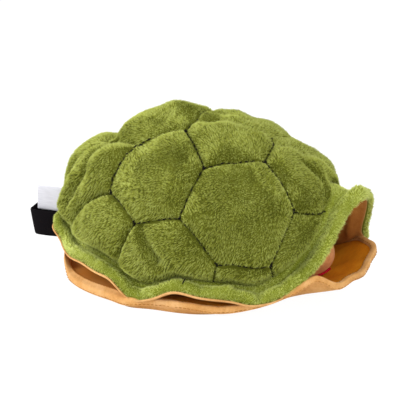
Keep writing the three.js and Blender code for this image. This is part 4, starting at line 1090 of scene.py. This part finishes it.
weave = across.maths("SINE", across * 250.0) * along.maths("SINE", along * 620.0) * 0.5 + 0.5
(weave * 0.7 + place.noise(700, 2) * 0.3).between(dye("060406"), dye("120e12")).into(shader, "Base Color")
weave.bump(0.5, 0.0004).into(shader, "Normal")
loop_rows = strip(loop_path, WEBBING_THICKNESS, WEBBING_WIDTH)
away = np.clip((LOOP_ROOT_X - loop_path[:, 0]) / LOOP_LENGTH, 0, 1)
loop_rows[..., 0] -= LOOP_LEAN * away[:, None] * (loop_rows[..., 2] - loop_path[:, None, 2])
hang_loop = cloth_piece("hang_loop_webbing", loop_rows)
sew(hang_loop, "loop", "webbing_black", black_webbing, "hang_loop")

# ---- Label ----
# A bare white satin ribbon is folded in two and sewn between the sides of the loop.
LABEL_FROM_ROOT, LABEL_LENGTH, LABEL_WIDTH, LABEL_THICKNESS, LABEL_PLY_GAP, LABEL_Z = 4, 26, 20, 0.5, 0.4, 50.0
half = (LABEL_PLY_GAP + LABEL_THICKNESS) / 2
start_x = LOOP_ROOT_X - LABEL_FROM_ROOT
fold_x = start_x - LABEL_LENGTH
bend = np.radians(np.linspace(0, 180, 15))
leg = np.linspace(0, 1, 14)[:-1]
label_x = np.concatenate([mix(start_x, fold_x, leg), fold_x - half * np.sin(bend),
                          mix(fold_x, start_x, leg + 1 / len(leg))])
label_y = np.concatenate([0 * leg - half, -half * np.cos(bend), 0 * leg + half])
white_ribbon, shader, place, _ = start_cloth(
    "white_ribbon", Roughness=0.5, Sheen_Weight=0.2, Specular_IOR_Level=0.4)
thread_rows = place.noise(900, 1, (0.1, 0.1, 2.0)).spread(0.3, 0.7)
tone = thread_rows * 0.6 + place.noise(60, 2).spread(0.3, 0.7) * 0.4
tone.between(dye("c2c2cb"), dye("dcdce3")).into(shader, "Base Color")
thread_rows.bump(0.2, 0.0002).into(shader, "Normal")
label_path = np.stack([label_x, label_y, 0 * label_x + LABEL_Z], -1)
label = cloth_piece("label_ribbon", strip(label_path, LABEL_THICKNESS, LABEL_WIDTH))
sew(label, "loop", "ribbon_white", white_ribbon, "label")

# ---- Studio ----
# A plain white floor, a white surround and three wide soft lights: overhead, from the left and from the right
# front. The camera stands where the photo was taken.
VIEW_AZIMUTH, VIEW_ELEVATION, VIEW_DISTANCE = np.radians(25), np.radians(18), 1.3
SENSOR_WIDTH, FRAME_AT_ORIGIN = 36, 0.3184
AIM_RIGHT, AIM_UP = -0.0115, 0.0637
LIGHTS = [
    ("overhead", (0.1, -0.1, 1.25), 0.8, 7),
    ("left_key", (-1.1, -0.55, 0.65), 0.8, 14.4),
    ("near_fill", (0.85, -0.85, 0.55), 0.7, 6.8),
]
LIGHT_TARGET = np.array([0, 0, 0.05])
FLOOR_REACH, FLOOR_GLOW, FLOOR_GLOW_SHARE, SURROUND_STRENGTH = 3, 1.12, 0.86, 0.5


def stand(data, place, target):
    """New object for a camera or lamp at a place in metres, turned to a target."""
    stood = bpy.data.objects.new(data.name, data)
    stood.location = place.tolist()
    stood.rotation_euler = Vector((target - place).tolist()).to_track_quat("-Z", "Y").to_euler()
    bpy.context.collection.objects.link(stood)
    return stood


view_right = np.array([np.cos(VIEW_AZIMUTH), np.sin(VIEW_AZIMUTH), 0])
level = np.array([np.sin(VIEW_AZIMUTH), -np.cos(VIEW_AZIMUTH), 0])
facing_camera = level * np.cos(VIEW_ELEVATION) + np.array([0, 0, np.sin(VIEW_ELEVATION)])
aim = view_right * AIM_RIGHT + np.cross(facing_camera, view_right) * AIM_UP
camera_data = bpy.data.cameras.new("photo_camera")
camera_data.sensor_width = SENSOR_WIDTH
camera_data.lens = SENSOR_WIDTH * VIEW_DISTANCE / FRAME_AT_ORIGIN
bpy.context.scene.camera = stand(camera_data, facing_camera * VIEW_DISTANCE, aim)

floor_mesh = bpy.data.meshes.new("studio_floor")
floor_corners = [(x * FLOOR_REACH, y * FLOOR_REACH, 0) for x, y in ((-1, -1), (1, -1), (1, 1), (-1, 1))]
floor_mesh.from_pydata(floor_corners, [], [(0, 1, 2, 3)])
floor = bpy.data.objects.new("studio_floor", floor_mesh)
bpy.context.collection.objects.link(floor)
floor_white, shader, place, _ = start_cloth("floor_white", Roughness=0.9, Base_Color=(0.9, 0.9, 0.9, 1))
seen = place.node("LightPath", {}, {})
glow = place.node("Emission", {}, {"Color": (1, 1, 1, 1), "Strength": FLOOR_GLOW})
lit = place.node("MixShader", {}, {0: seen * FLOOR_GLOW_SHARE, 1: Yarn(place.tree, shader.outputs[0]), 2: glow})
lit.into(place.tree.nodes["Material Output"], "Surface")
floor_mesh.materials.append(floor_white)

surround = bpy.data.worlds.new("surround")
surround.use_nodes = True
bpy.context.scene.world = surround
background = surround.node_tree.nodes["Background"]
background.inputs["Color"].default_value = (1, 1, 1, 1)
background.inputs["Strength"].default_value = SURROUND_STRENGTH
sky = Yarn(surround.node_tree, background.outputs[0])
seen = sky.node("LightPath", {}, {})
white = sky.node("Background", {}, {"Color": (1, 1, 1, 1), "Strength": 1.0})
sky.node("MixShader", {}, {0: seen, 1: sky, 2: white}).into(surround.node_tree.nodes["World Output"], "Surface")
for name, place_m, size, watts in LIGHTS:
    lamp_data = bpy.data.lights.new(name, "AREA")
    lamp_data.size = size
    lamp_data.energy = watts
    stand(lamp_data, np.array(place_m), LIGHT_TARGET)
bpy.context.scene.view_settings.view_transform = "Standard"
